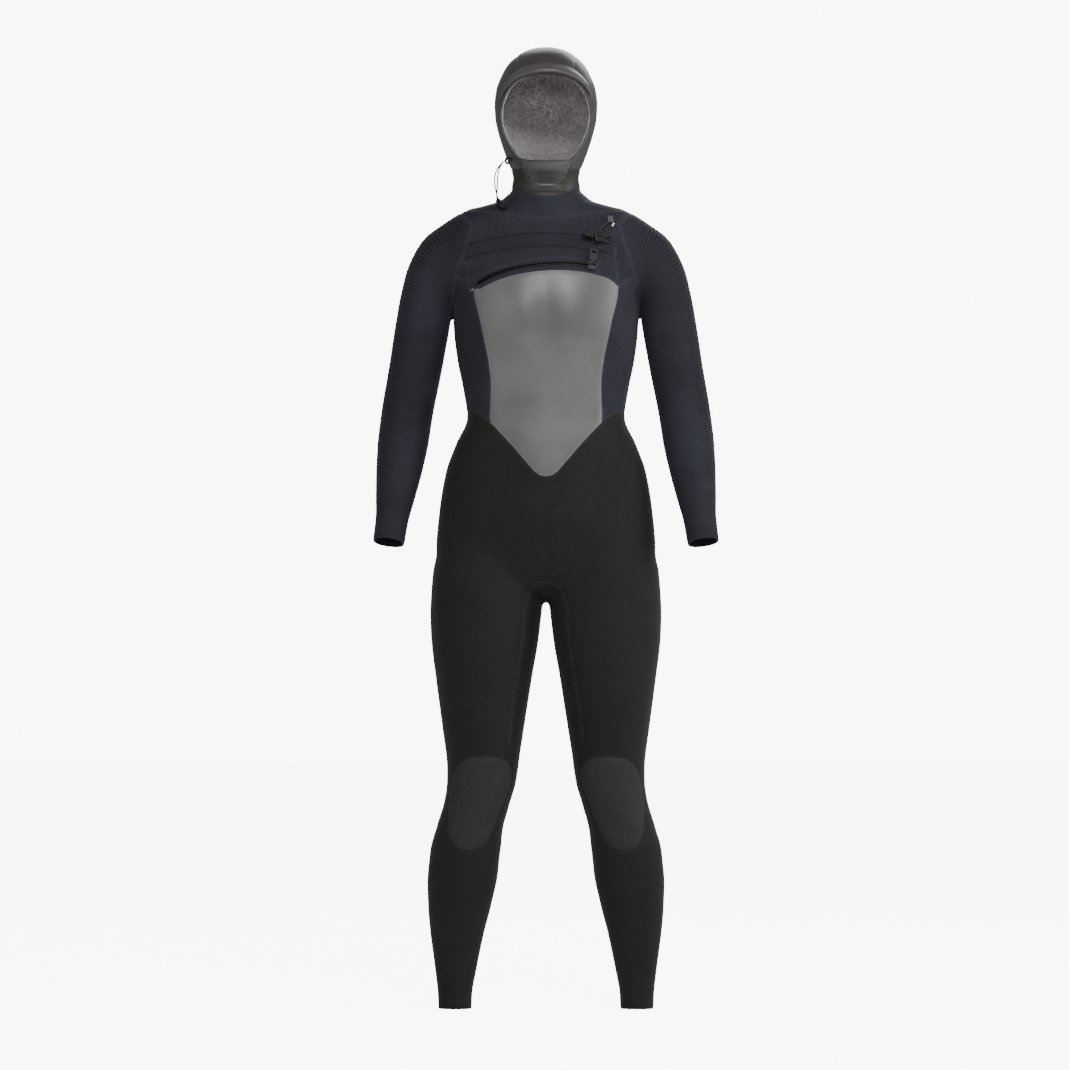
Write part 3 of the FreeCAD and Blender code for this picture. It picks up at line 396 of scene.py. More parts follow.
joints = {j["name"]: j for j in frame["record"]["behaviour"]["joints"]}
ZIP_CENTRE = np.array(joints["zip_run"]["pos_m"])
ZIP_AXIS = np.array(joints["zip_run"]["axis"])
ZIP_END = np.array([0.076, -0.0965, -0.095])
ZIP_RADIUS = np.linalg.norm(ZIP_END - ZIP_CENTRE)
ZIP_LENGTH = math.radians(joints["zip_run"]["range_deg"][1]) * ZIP_RADIUS
ZIP_LEAN = math.radians(20)
SLOT_MIDDLE, SLOT_HALF_HEIGHT, SLOT_PAST_ZIP = -0.0015, 0.0105, 0.012
TAPE_EDGE = 0.0026       # from the middle of the zip to each tape
zip_start = (ZIP_END - ZIP_CENTRE) / ZIP_RADIUS
zip_side = np.cross(ZIP_AXIS, zip_start)


def zip_axes():
    """How much the zip's out and up directions lie along its radius and along its axis."""
    middle = np.array([0.020, -0.1035, -0.091]) - ZIP_CENTRE
    middle /= np.linalg.norm(middle)
    out = np.array([0, -math.cos(ZIP_LEAN), math.sin(ZIP_LEAN)])
    out = np.array([out @ middle, out @ ZIP_AXIS])
    out /= np.linalg.norm(out)
    up = np.array([out[1], -out[0]])
    world = up[0] * middle + up[1] * ZIP_AXIS
    return out, up * (1 if world[2] > 0 else -1)


zip_out, zip_up = zip_axes()


def zip_coordinates(p):
    """Along the zip from its closed end, up across it, and out of the chest."""
    v = p - ZIP_CENTRE
    axial = v @ ZIP_AXIS
    a, b = v @ zip_start, v @ zip_side
    radial = np.hypot(a, b) - ZIP_RADIUS
    return (np.arctan2(b, a) * ZIP_RADIUS, radial * zip_up[0] + axial * zip_up[1],
            radial * zip_out[0] + axial * zip_out[1])


def zip_point(along, up, out):
    angle = along / ZIP_RADIUS
    way = math.cos(angle) * zip_start + math.sin(angle) * zip_side
    return (ZIP_CENTRE + way * (ZIP_RADIUS + up * zip_up[0] + out * zip_out[0])
            + ZIP_AXIS * (up * zip_up[1] + out * zip_out[1]))


def zip_slot(p):
    along, up, out = zip_coordinates(p)
    across = np.abs(up - SLOT_MIDDLE) - SLOT_HALF_HEIGHT
    d = np.maximum(across, np.abs(along - ZIP_LENGTH / 2) - ZIP_LENGTH / 2 - SLOT_PAST_ZIP)
    return np.where((p[:, 1] < 0) & (p[:, 2] > -0.2), d, OUTSIDE)


def armhole(p):
    q = folded(p)
    near = (q[:, 2] < 0.03) & (q[:, 2] > -0.62) & (q[:, 0] > 0.09)
    out = np.full(len(p), OUTSIDE)
    out[near] = arm_distance(q[near]) - level_distance(q[near], TRUNK)
    return out


def hip_join(p):
    q = folded(p)
    near = (q[:, 2] < -0.45) & (q[:, 2] > -0.75) & (q[:, 0] < 0.22)
    out = np.where(q[:, 2] < -0.5, -OUTSIDE, OUTSIDE)
    out[near] = level_distance(q[near], LEG) - level_distance(q[near], TRUNK)
    return out


def arm_plane(point, way):
    level = lambda p: (folded(p) - point) @ way
    return lambda p: np.where((np.abs(p[:, 0]) > 0.185) & (p[:, 2] < -0.2), level(p), OUTSIDE)


def above(height):
    return lambda p: p[:, 2] - height


def within(name, both_sides=False):
    return lambda p: outline_distance(folded(p) if both_sides else p, name)


def gated(field, gate):
    return lambda p: np.where(gate(p), field(p), OUTSIDE)


CUTS = [
    armhole, above_collar, above_join, zip_slot, hip_join,
    gated(lambda p: zip_coordinates(p)[1] - TAPE_EDGE, lambda p: zip_slot(p) < 0.001),
    gated(lambda p: -TAPE_EDGE - zip_coordinates(p)[1], lambda p: zip_slot(p) < 0.001),
    arm_plane(BAND_START, band_way), arm_plane(BAND_END, band_way),
    arm_plane(WRIST - fore_way * CUFF_LENGTH, fore_way), arm_plane(WRIST, fore_way),
    above(KNEE_TOP), above(KNEE_BOTTOM), above(CUFF_TOP), above(HEM),
    within("face"), within("chin"),
    gated(above(NECK_SEAM), lambda p: p[:, 2] > 0.03),
    gated(lambda p: np.abs(p[:, 0]) - CROWN_HALF_WIDTH, lambda p: p[:, 2] > 0.06),
    within("flap"), within("chest"), within("side_front", True), within("side_back", True), within("yoke"),
    within("lower"), within("gusset"), within("inner_thigh", True), within("knee_pad", True),
    gated(lambda p: p[:, 1], lambda p: (p[:, 2] > -0.66) & (np.abs(p[:, 0]) < 0.2)),
]


def panel_of(c):
    """The panel that each point of the skin belongs to."""
    x, y, z = c.T
    front = y < 0
    f = folded(c)
    arm = (armhole(c) < 0) & (z < 0.03)
    along_band, along_end = (f - BAND_START) @ band_way, (f - BAND_END) @ band_way
    past_wrist = (f - WRIST) @ fore_way
    along_cuff = past_wrist + CUFF_LENGTH
    lower = np.where(front, outline_distance(c, "lower") < 0, z < WAIST)
    lower = lower & (np.abs(x) < 0.23) & ~arm | (z < -0.6)
    leg = lower & (hip_join(c) < 0)
    face = (outline_distance(c, "face") < 0) & (y < -0.012)
    slot, up = zip_slot(c) < 0, zip_coordinates(c)[1]
    hood = above_join(c) > 0
    rules = [
        (slot & (up > TAPE_EDGE), "zip_tape_upper"), (slot & (up < -TAPE_EDGE), "zip_tape_lower"),
        (slot, "cut"), (face & (z > 0.03), "cut"), (z < HEM, "cut"),
        (arm & (past_wrist > 0) & (z < -0.4), "cut"), (arm & (along_cuff > 0) & (z < -0.4), "wrist_cuff*"),
        (arm & (along_end > 0) & (z < -0.2), "forearm*"), (arm & (along_band > 0) & (z < -0.2), "elbow*"),
        (arm, "sleeve_upper*"),
        (z < CUFF_TOP, "ankle_cuff*"), (z < KNEE_BOTTOM, "shin*"), (z < KNEE_TOP, "knee*"),
        (lower & (outline_distance(c, "gusset") < 0), "crotch_gusset"),
        (lower & (outline_distance(f, "inner_thigh") < 0), "inner_thigh*"),
        (leg, "thigh*"), (lower & front, "hip_panel"), (lower, "seat_panel"),
        (hood & front & (outline_distance(c, "chin") < 0) & (z < 0.085), "hood_chin_panel"),
        (hood & (z < NECK_SEAM), "hood_neck"), (hood & (np.abs(x) < CROWN_HALF_WIDTH), "hood_crown"),
        (hood, "hood_side*"),
        (above_collar(c) > 0, "collar"),
        (front & (outline_distance(c, "chest") < 0), "chest_panel"),
        (front & (outline_distance(c, "flap") < 0), "chest_flap"),
        (front & (outline_distance(f, "side_front") < 0), "side_panel*"),
        (~front & (outline_distance(f, "side_back") < 0), "side_panel*"),
        (~front & (outline_distance(c, "yoke") < 0), "back_yoke"),
        (~front & (np.abs(x) < 0.13) & (z < -0.13), "back_panel"),
    ]
    names = np.full(len(c), "shoulder*", dtype=object)
    for mask, name in rules[::-1]:
        names[mask] = name
    side = np.where(x > 0, "_left", "_right")
    return np.array([n.replace("*", s) for n, s in zip(names, side)], dtype=object)


def split(points, tris, fixed, field):
    """Cuts the triangles where the field changes sign, with clean edges along it."""
    f = field(points)
    near = (np.abs(f) < 0.22 * CELL) & ~fixed
    for _ in range(2):
        e = 0.0003
        p = points[near]
        grad = np.stack([field(p + step) - field(p - step) for step in np.eye(3) * e], 1) / (2 * e)
        normal = gradient(p)
        normal /= np.linalg.norm(normal, axis=1)[:, None]
        grad -= normal * (grad * normal).sum(1)[:, None]
        size = np.maximum((grad ** 2).sum(1), 0.2)
        points[near] = settle(p - grad * np.clip(field(p) / size, -0.002, 0.002)[:, None], 1)
    f = field(points)
    f[np.abs(f) < 0.03 * CELL] = 0
    f[near] = np.where(np.abs(f[near]) < 0.1 * CELL, 0, f[near])
    fixed = fixed | (f == 0)
    sign = np.sign(f)
    ends = np.stack([tris, np.roll(tris, -1, 1)], 2)
    crossing = sign[ends[:, :, 0]] * sign[ends[:, :, 1]] < 0
    if not crossing.any():
        return points, tris, fixed
    low, high = ends.min(2), ends.max(2)
    keys = low * len(points) + high
    unique, inverse = np.unique(keys[crossing], return_inverse=True)
    a, b = unique // len(points), unique % len(points)
    t = f[a] / (f[a] - f[b])
    new = settle(points[a] * (1 - t)[:, None] + points[b] * t[:, None], 2)
    made = -np.ones(crossing.shape, int)
    made[crossing] = inverse.ravel() + len(points)
    count = crossing.sum(1)
    out = [tris[count == 0]]
    for k in range(3):
        v0, v1, v2 = tris[:, k], tris[:, (k + 1) % 3], tris[:, (k + 2) % 3]
        m01, m12, m20 = made[:, k], made[:, (k + 1) % 3], made[:, (k + 2) % 3]
        two = (count == 2) & (m12 < 0)
        out.append(np.stack([v0, m01, m20], 1)[two])
        out.append(np.stack([m01, v1, v2], 1)[two])
        out.append(np.stack([m01, v2, m20], 1)[two])
        one = (count == 1) & (m01 >= 0)
        out.append(np.stack([v0, m01, v2], 1)[one])
        out.append(np.stack([m01, v1, v2], 1)[one])
    return np.vstack([points, new]), np.concatenate(out), np.concatenate([fixed, np.ones(len(new), bool)])


def relax(points, quads, rounds):
    edges = np.vstack([quads[:, [i, (i + 1) % 4]] for i in range(4)])
    edges = np.vstack([edges, edges[:, ::-1]])
    count = np.bincount(edges[:, 0], minlength=len(points))
    for _ in range(rounds):
        mean = np.stack([np.bincount(edges[:, 0], points[edges[:, 1], i], len(points)) for i in range(3)], 1)
        points = settle(points * 0.5 + mean / np.maximum(count, 1)[:, None] * 0.5, 1)
    return points


points, quads = extract(np.array([-0.307, -0.135, -1.345]), np.array([0.307, 0.137, 0.277]), CELL)
points = settle(relax(settle(points), quads, 3), 2)
tris = np.vstack([quads[:, [0, 1, 2]], quads[:, [0, 2, 3]]])
fixed = np.zeros(len(points), bool)
for field in CUTS:
    points, tris, fixed = split(points, tris, fixed, field)
normals = gradient(points)
normals /= np.linalg.norm(normals, axis=1)[:, None]
panels = panel_of(points[tris].mean(1))

# ---------------------------------------------------------------- seams that show, and grooves along them
SEAMLESS = [("hip_panel", "thigh"), ("seat_panel", "thigh"), ("hip_panel", "seat_panel"), ("thigh", "knee"),
            ("knee", "shin"), ("shin", "ankle_cuff"), ("sleeve_upper", "elbow"), ("elbow", "forearm"),
            ("forearm", "wrist_cuff"), ("inner_thigh", "knee"), ("crotch_gusset", "inner_thigh"),
            ("inner_thigh", "inner_thigh"), ("shoulder", "back_yoke"), ("seat_panel", "crotch_gusset")]


def plain(name):
    return name.replace("_left", "").replace("_right", "")


def seam_edges():
    """Pairs of points along the border of two different panels, where the seam shows."""
    ends = np.vstack([tris[:, [i, (i + 1) % 3]] for i in range(3)])
    owner = np.tile(np.arange(len(tris)), 3)
    keys = ends.min(1) * len(points) + ends.max(1)
    order = np.argsort(keys, kind="stable")
    keys, ends, owner = keys[order], ends[order], owner[order]
    pair = np.flatnonzero(keys[1:] == keys[:-1])
    one, two = panels[owner[pair]], panels[owner[pair + 1]]
    hidden = {frozenset(p) for p in SEAMLESS}
    shows = [a != b and "cut" not in (a, b) and frozenset((plain(a), plain(b))) not in hidden
             for a, b in zip(one, two)]
    rims = [("cut" in (a, b)) and a != b for a, b in zip(one, two)]
    return ends[pair[np.array(shows)]], ends[pair[np.array(rims)]]


seams, rims = seam_edges()
pad_edge = np.abs(outline_distance(folded(points), "knee_pad")) < 0.0002
pad_edge &= (points[:, 1] < 0) & (points[:, 2] < -0.85)


def nearest(samples):
    """The distance from each point of the skin to the nearest sample."""
    from mathutils.kdtree import KDTree
    tree = KDTree(len(samples))
    for i, s in enumerate(samples):
        tree.insert(s, i)
    tree.balance()
    return np.array([tree.find(p)[2] for p in points])


def sampled(edges):
    a, b = points[edges[:, 0]], points[edges[:, 1]]
    return np.vstack([a + (b - a) * t for t in (0, 0.25, 0.5, 0.75)])


seam_gap = nearest(np.vstack([sampled(seams), points[pad_edge]]))
rim_gap = nearest(sampled(rims))
groove = 0.0009 * np.exp(-(seam_gap / 0.0028) ** 2) + 0.0007 * np.exp(-(rim_gap / 0.002) ** 2)
skin = points - normals * groove[:, None]


def smooth_normals(p, t):
    face = np.cross(p[t[:, 1]] - p[t[:, 0]], p[t[:, 2]] - p[t[:, 0]])
    n = np.stack([sum(np.bincount(t[:, k], face[:, i], len(p)) for k in range(3)) for i in range(3)], 1)
    return n / np.maximum(np.linalg.norm(n, axis=1), 1e-12)[:, None]


skin_normals = smooth_normals(skin, tris)

arm_side = (points[:, 2] < 0.03) & (points[:, 2] > -0.62) & (np.abs(points[:, 0]) > 0.10)
rib_place, rib_strength = np.zeros(len(points)), np.zeros(len(points))
place, _, _, past = arm_place(folded(points[arm_side]))
rib_place[arm_side] = ARM_LINE[0][place] + past
outward = normals[:, 0] * np.sign(points[:, 0])
reach = ramp(outward - 0.35 * np.abs(normals[:, 1]), -0.15, 0.45)
reach = np.maximum(reach, ramp(points[:, 2], -0.13, -0.05) * ramp(np.abs(points[:, 0]), 0.12, 0.15))
rib_strength[arm_side] = (reach * (0.35 + 0.65 * ramp(points[:, 2], -0.52, -0.30)))[arm_side]
RIBBED = ("sleeve_upper", "elbow", "forearm", "shoulder")

ATTRIBUTES = {"seam": seam_gap, "rim": rim_gap, "rib": rib_place, "ribs": rib_strength}


def new_mesh(name, p, faces, attributes=None, corner_normals=None, sharp=()):
    """A mesh object from points and triangles or quads, smooth shaded."""
    mesh = bpy.data.meshes.new(name)
    mesh.from_pydata(p.tolist(), [], faces)
    mesh.polygons.foreach_set("use_smooth", np.ones(len(mesh.polygons), bool))
    for key, values in (attributes or {}).items():
        mesh.attributes.new(key, "FLOAT", "POINT").data.foreach_set("value", np.asarray(values, np.float32))
    if corner_normals is not None:
        mesh.normals_split_custom_set(corner_normals.tolist())
    mesh.validate(verbose=False)
    obj = bpy.data.objects.new(name, mesh)
    bpy.context.scene.collection.objects.link(obj)
    return obj


def shell(name, t, outer, inner, outer_normals, attributes):
    """A closed wall between two copies of the same triangles."""
    used, t = np.unique(t, return_inverse=True)
    t = t.reshape(-1, 3)
    n = len(used)
    directed = np.vstack([t[:, [i, (i + 1) % 3]] for i in range(3)])
    keys, back = directed[:, 0] * n + directed[:, 1], directed[:, 1] * n + directed[:, 0]
    border = directed[~np.isin(keys, back)]
    faces = t.tolist() + (t[:, ::-1] + n).tolist()
    faces += [[b, a, a + n, b + n] for a, b in border.tolist()]
    p = np.vstack([outer[used], inner[used]])
    out = outer_normals[used]
    wall = []
    for a, b in border:
        v = np.cross(p[a + n] - p[b], p[a] - p[b])
        v = -v / max(np.linalg.norm(v), 1e-12)
        wall += [v] * 4
    corner = np.vstack([out[t.ravel()], -out[t[:, ::-1].ravel()]] + ([np.array(wall)] if wall else []))
    return new_mesh(name, p, faces, {k: np.tile(v[used], 2) for k, v in attributes.items()}, corner)


made = {}
for name in sorted(set(panels) - {"cut", "zip_tape_upper", "zip_tape_lower"}):
    t = tris[panels == name]
    attributes = {**ATTRIBUTES, "ribs": rib_strength * (plain(name) in RIBBED)}
    made[name] = shell("skin_" + name, t, skin, points - normals * WALL, skin_normals, attributes)


def offset(t, name, out, back):
    """A closed layer that follows the skin's triangles t, from one height above the skin to another."""
    outer, inner = points + normals * out[:, None], points + normals * back[:, None]
    return shell(name, t, outer, inner, normals, ATTRIBUTES)


def flat(height):
    return np.full(len(points), height)


# ---------------------------------------------------------------- layers that follow the skin
middle = points[tris].mean(1)
hood_names = ["hood_crown", "hood_side_left", "hood_side_right", "hood_neck", "hood_chin_panel"]
nap = 0.00035 * np.sin(points[:, 0] * 910 + 3 * np.sin(points[:, 2] * 420)) * np.sin(points[:, 2] * 850)
LINING_TOP, LINING_BACK, BIB_TOP, BIB_BACK = -0.0037, -0.0056, -0.012, -0.014
hood_tris = tris[np.isin(panels, hood_names)]
made["hood_lining"] = offset(hood_tris, "fleece_lining", flat(LINING_TOP), LINING_BACK + nap)
bib = (np.abs(middle[:, 0]) < 0.104) & (middle[:, 1] < -0.03) & (middle[:, 2] < -0.045)
bib &= middle[:, 2] > -0.158
made["neck_barrier"] = offset(tris[bib], "inner_bib", flat(BIB_TOP), flat(BIB_BACK))
for side, sign in (("left", 1), ("right", -1)):
    inside = (outline_distance(folded(middle), "knee_pad") < 0) & (middle[:, 2] < KNEE_TOP + 0.004)
    inside &= (middle[:, 1] < 0) & (middle[:, 0] * sign > 0)
    depth = np.clip(-outline_distance(folded(points), "knee_pad"), 0, 1)
    dome = 0.0006 + 0.0024 * ramp(depth, 0, 0.007) + 0.001 * ramp(depth, 0.01, 0.045)
    pad = tris[inside]
    lift = points + normals * dome[:, None]
    made["knee_pad_" + side] = shell("pad_knee_" + side, pad, lift, skin + skin_normals * 0.0002,
                                     smooth_normals(lift, pad), {**ATTRIBUTES, "rim": depth})


def on_skin(x, z, front=True):
    """The point of the skin in front (or behind) at this place, in metres."""
    y = np.full(len(x), -0.125 if front else 0.125)
    p = np.stack([x, y, z], 1)
    for _ in range(40):
        p[:, 1] += np.clip(body_distance(p), -0.01, 0.01) * (0.7 if front else -0.7)
    return p


def skin_normal(p):
    n = gradient(p)
    return n / np.linalg.norm(n, axis=1)[:, None]


def sweep(name, line, ups, profile, closed=False):
    """A closed tube along a line: profile(t) gives (side, up) offsets round the section at t from 0 to 1."""
    line, ups = np.array(line), np.array(ups)
    way = np.gradient(line, axis=0) if not closed else np.roll(line, -1, 0) - np.roll(line, 1, 0)
    way /= np.linalg.norm(way, axis=1)[:, None]
    side = np.cross(way, ups)
    side /= np.linalg.norm(side, axis=1)[:, None]
    up = np.cross(side, way)
    rows = []
    for i in range(len(line)):
        rows.append([line[i] + side[i] * a + up[i] * b for a, b in profile(i / (len(line) - 1))])
    m, n = len(rows[0]), len(rows)
    p = np.array(rows).reshape(-1, 3)
    faces = []
    for i in range(n if closed else n - 1):
        j = (i + 1) % n
        faces += [[i * m + k, i * m + (k + 1) % m, j * m + (k + 1) % m, j * m + k] for k in range(m)]
    if not closed:
        faces += [list(range(m))[::-1], [(n - 1) * m + k for k in range(m)]]
    obj = new_mesh(name, p, faces)
    fix_normals(obj)
    return obj


def fix_normals(obj):
    bm = bmesh.new()
    bm.from_mesh(obj.data)
    bmesh.ops.recalc_face_normals(bm, faces=bm.faces)
    bm.to_mesh(obj.data)
    bm.free()
    return obj


# Binding round the face opening: a soft rolled edge on the skin
face_line = OUTLINES["face"]
steps = np.linalg.norm(np.diff(np.vstack([face_line, face_line[:1]]), axis=0), axis=1)
travel = np.concatenate([[0], np.cumsum(steps)])
closed_line = np.vstack([face_line, face_line[:1]])
t = np.linspace(0, travel[-1], 181)[:-1]
ring_xz = np.stack([np.interp(t, travel, closed_line[:, i]) for i in (0, 1)], 1)
for _ in range(4):
    ring_xz = (np.roll(ring_xz, 1, 0) + 2 * ring_xz + np.roll(ring_xz, -1, 0)) / 4
ring = on_skin(ring_xz[:, 0], ring_xz[:, 1])
ring_up = skin_normal(ring)
ring = ring - ring_up * 0.0016


def rolled(t):
    return [(0.0015 * math.cos(a), 0.0021 * math.sin(a)) for a in np.arange(12) * math.pi / 6]


made["hood_face_binding"] = sweep("face_binding", ring, ring_up, rolled, closed=True)

# Padded visor: a rolled lip that stands out over the forehead and fades at the temples
lip_half = [(20, 225.5), (40, 220), (56, 210), (67, 199), (73, 189), (76, 181)]
lip_xz = smooth([(-x, z) for x, z in lip_half[::-1]] + [(0, 227)] + lip_half, 10)
lip = on_skin(lip_xz[:, 0], lip_xz[:, 1])
lip_up = skin_normal(lip)


def brim(t):
    swell = 0.10 + 0.90 * ramp(np.array(min(t, 1 - t)), 0.0, 0.30)
    shape = [(0.0062, -0.0012), (0.0082, 0.0030), (0.0082, 0.0074), (0.0062, 0.0098), (0.0030, 0.0100),
             (-0.0010, 0.0086), (-0.0050, 0.0058), (-0.0090, 0.0028), (-0.0125, 0.0008), (-0.0135, -0.0010),
             (-0.004, -0.0015), (0.003, -0.0015)]
    return [(a * (0.45 + 0.55 * swell), b * swell - 0.0004) for a, b in shape]


visor = sweep("padded_visor", lip, lip_up, brim)
subdivide = visor.modifiers.new("round", "SUBSURF")
subdivide.levels = subdivide.render_levels = 2
made["hood_visor"] = visor

# ---------------------------------------------------------------- zip: woven tapes and separate teeth
TEETH_OUT, TOOTH_PITCH = -0.0018, 0.0021


for name in ("upper", "lower"):
    tape = tris[panels == "zip_tape_" + name]
    made["zip_tape_" + name] = offset(tape, "zip_band_" + name, flat(-0.0008), flat(-0.0026))


def teeth():
    p, faces = [], []
    for row in (1, -1):
        for s in np.arange(-0.0068, ZIP_LENGTH + 0.0068, TOOTH_PITCH):
            s = s + (TOOTH_PITCH / 2 if row < 0 else 0)
            near, far = (0.0008, 0.0029) if row > 0 else (-0.0029, -0.0008)
            base = len(p)
            for half, out in ((0.0006, 0.0008), (0.0008, -0.001)):
                for ds, up in ((-half, near), (half, near), (half, far), (-half, far)):
                    p.append(zip_point(s + ds, up, TEETH_OUT + out))
            faces += [[base + k for k in f] for f in
                      ([0, 1, 2, 3], [7, 6, 5, 4], [0, 4, 5, 1], [1, 5, 6, 2], [2, 6, 7, 3], [3, 7, 4, 0])]
    obj = fix_normals(new_mesh("zip_coil_teeth", np.array(p), faces))
    for polygon in obj.data.polygons:
        polygon.use_smooth = False
    bevel = obj.modifiers.new("round", "BEVEL")
    bevel.width, bevel.segments = 0.00025, 2
    return obj


made["zip_teeth"] = teeth()

# ---------------------------------------------------------------- cords
LOCK_ORIGIN = np.array([0.086, -0.082, -0.050])
yaw, lean = math.radians(22), math.radians(-18)
turned = np.array([[math.cos(yaw), -math.sin(yaw), 0], [math.sin(yaw), math.cos(yaw), 0], [0, 0, 1]])
leaned = np.array([[1, 0, 0], [0, math.cos(lean), -math.sin(lean)], [0, math.sin(lean), math.cos(lean)]])
LOCK_TURN = turned @ leaned


def lock_points(route):
    return [LOCK_ORIGIN + LOCK_TURN @ (np.array(p) * MM) for p in route]


HOOD_CORD_RADIUS, CHEST_CORD_RADIUS = 0.0012, 0.0009
# Each cord's route in mm, as body places or as places round the chest lock, its radius and its length
front_strand = [(-69, -41, 79), (-77, -47, 72), (-84, -50, 59), (-85.5, -50.5, 44), (-83, -50, 29),
                (-79.5, -51.6, 16.2)]
back_strand = [(-71, -36, 78), (-77, -38, 69), (-80, -40.5, 56), (-80.5, -43.5, 43), (-80.8, -46.5, 29),
               (-81.5, -48.2, 15.8)]
diagonal = [(4, -3, 7.8), (5.6, -3.6, 14), (13, -3.8, 22.5), (21, -2.4, 27.5), (26, -1.2, 28.5)]
loop = [(8.3, -3, 3.4), (16, -3.8, 4.6), (24.2, -3.4, 2.9), (28.2, -2.8, -3.0), (23.2, -3.4, -8.6),
        (15.2, -3.8, -7.2), (8.3, -3, -4.6)]
CORDS = {
    "hood_drawcord_front": ([np.array(p) * MM for p in front_strand], HOOD_CORD_RADIUS, 0.0704),
    "hood_drawcord_back": ([np.array(p) * MM for p in back_strand], HOOD_CORD_RADIUS, 0.0654),
    "closure_cord_diagonal": (lock_points(diagonal), CHEST_CORD_RADIUS, 0.0322),
    "closure_cord_loop": (lock_points(loop), CHEST_CORD_RADIUS, 0.0444),
}


def cord(name, route, radius):
    curve = bpy.data.curves.new("cord_" + name, "CURVE")
    curve.dimensions = "3D"
    spline = curve.splines.new("NURBS")
    spline.points.add(len(route) - 1)
    for point, place in zip(spline.points, route):
        point.co = (*place, 1)
        point.radius = radius
    spline.order_u = 3
    spline.use_endpoint_u = True
    spline.resolution_u = 12
    curve.bevel_depth = 1
    curve.bevel_resolution = 5
    curve.use_fill_caps = True
    obj = bpy.data.objects.new("cord_" + name, curve)
    bpy.context.scene.collection.objects.link(obj)
    return obj


for name, (route, radius, length) in CORDS.items():
    made[name] = cord(name, route, radius)

# ---------------------------------------------------------------- materials


class Look:
    """A material's node tree with short helpers."""

    def __init__(self, name, color, roughness, **values):
        self.material = bpy.data.materials.new(name)
        self.material.use_nodes = True
        self.tree = self.material.node_tree
        self.shader = self.tree.nodes["Principled BSDF"]
        self.shader.inputs["Base Color"].default_value = (*color, 1)
        self.shader.inputs["Roughness"].default_value = roughness
        for key, value in values.items():
            self.shader.inputs[key.replace("_", " ")].default_value = value
        self.height = None

    def node(self, kind, **values):
        node = self.tree.nodes.new("ShaderNode" + kind)
        for key, value in values.items():
            setattr(node, key, value)
        return node

    def link(self, value, socket):
        if isinstance(value, bpy.types.NodeSocket):
            self.tree.links.new(value, socket)
        else:
            socket.default_value = value

    def math(self, operation, a, b=0.0, c=0.0, clamp=False):
        node = self.node("Math", operation=operation, use_clamp=clamp)
        for socket, value in zip(node.inputs, (a, b, c)):
            self.link(value, socket)
        return node.outputs[0]

    def place(self, turn=(0, 0, 0)):
        mapping = self.node("Mapping")
        mapping.inputs["Rotation"].default_value = turn
        self.tree.links.new(self.node("TexCoord").outputs["Object"], mapping.inputs["Vector"])
        return mapping.outputs[0]

    def axis(self, name):
        separate = self.node("SeparateXYZ")
        self.tree.links.new(self.place(), separate.inputs[0])
        return separate.outputs[name]

    def noise(self, scale, detail=3.0, roughness=0.5):
        node = self.node("TexNoise")
        self.tree.links.new(self.place(), node.inputs["Vector"])
        node.inputs["Scale"].default_value = scale
        node.inputs["Detail"].default_value = detail
        node.inputs["Roughness"].default_value = roughness
        return node.outputs["Fac"]

    def cells(self, scale):
        node = self.node("TexVoronoi")
        self.tree.links.new(self.place(), node.inputs["Vector"])
        node.inputs["Scale"].default_value = scale
        return node.outputs["Distance"]

    def wave(self, scale, turn=(0, 0, 0)):
        node = self.node("TexWave")
        self.tree.links.new(self.place(turn=turn), node.inputs["Vector"])
        node.inputs["Scale"].default_value = scale
        return node.outputs["Fac"]

    def attribute(self, name):
        return self.node("Attribute", attribute_name=name).outputs["Fac"]

    def add_height(self, value, amount):
        """Adds relief, in metres per unit of the value."""
        part = self.math("MULTIPLY", value, amount)
        self.height = part if self.height is None else self.math("ADD", self.height, part)

    def tint(self, color, factor):
        """Mixes another colour over the one so far."""
        mix = self.node("Mix", data_type="RGBA")
        socket = self.shader.inputs["Base Color"]
        self.link(factor, mix.inputs["Factor"])
        if socket.is_linked:
            self.tree.links.new(socket.links[0].from_socket, mix.inputs["A"])
        else:
            mix.inputs["A"].default_value = socket.default_value
        mix.inputs["B"].default_value = (*color, 1)
        self.tree.links.new(mix.outputs["Result"], socket)

    def rough(self, value, low, high):
        node = self.node("MapRange")
        self.link(value, node.inputs["Value"])
        node.inputs["To Min"].default_value = low
        node.inputs["To Max"].default_value = high
        self.tree.links.new(node.outputs["Result"], self.shader.inputs["Roughness"])

    def ridge(self, value, at, width):
        """1 where the value is within the width of a place, fading to 0."""
        away = self.math("DIVIDE", self.math("SUBTRACT", value, at), width)
        square = self.math("MINIMUM", self.math("MULTIPLY", away, away), 1.0)
        return self.math("SUBTRACT", 1.0, square, clamp=True)

    def mottle(self, color, noise, at, width, amount):
        """Tints where a noise is near a value."""
        self.tint(color, self.math("MULTIPLY", self.ridge(self.noise(*noise), at, width), amount))

    def done(self):
        if self.height is not None:
            bump = self.node("Bump")
            bump.inputs["Strength"].default_value = 1.0
            bump.inputs["Distance"].default_value = 1.0
            self.tree.links.new(self.height, bump.inputs["Height"])
            self.tree.links.new(bump.outputs["Normal"], self.shader.inputs["Normal"])
        return self.material


def stitched(look, thread, light):
    """A flat glued seam with a fine row of thread beside it."""
    seam = look.attribute("seam")
    line = look.ridge(seam, 0.0, 0.0011)
    look.tint(light, look.math("MULTIPLY", line, 0.75))
    gaps = look.math("GREATER_THAN", look.wave(150), 0.35)
    run = look.math("MULTIPLY", look.ridge(seam, 0.0026, 0.0006), gaps)
    look.tint(thread, look.math("MULTIPLY", run, 0.5))
    look.add_height(run, 0.00012)


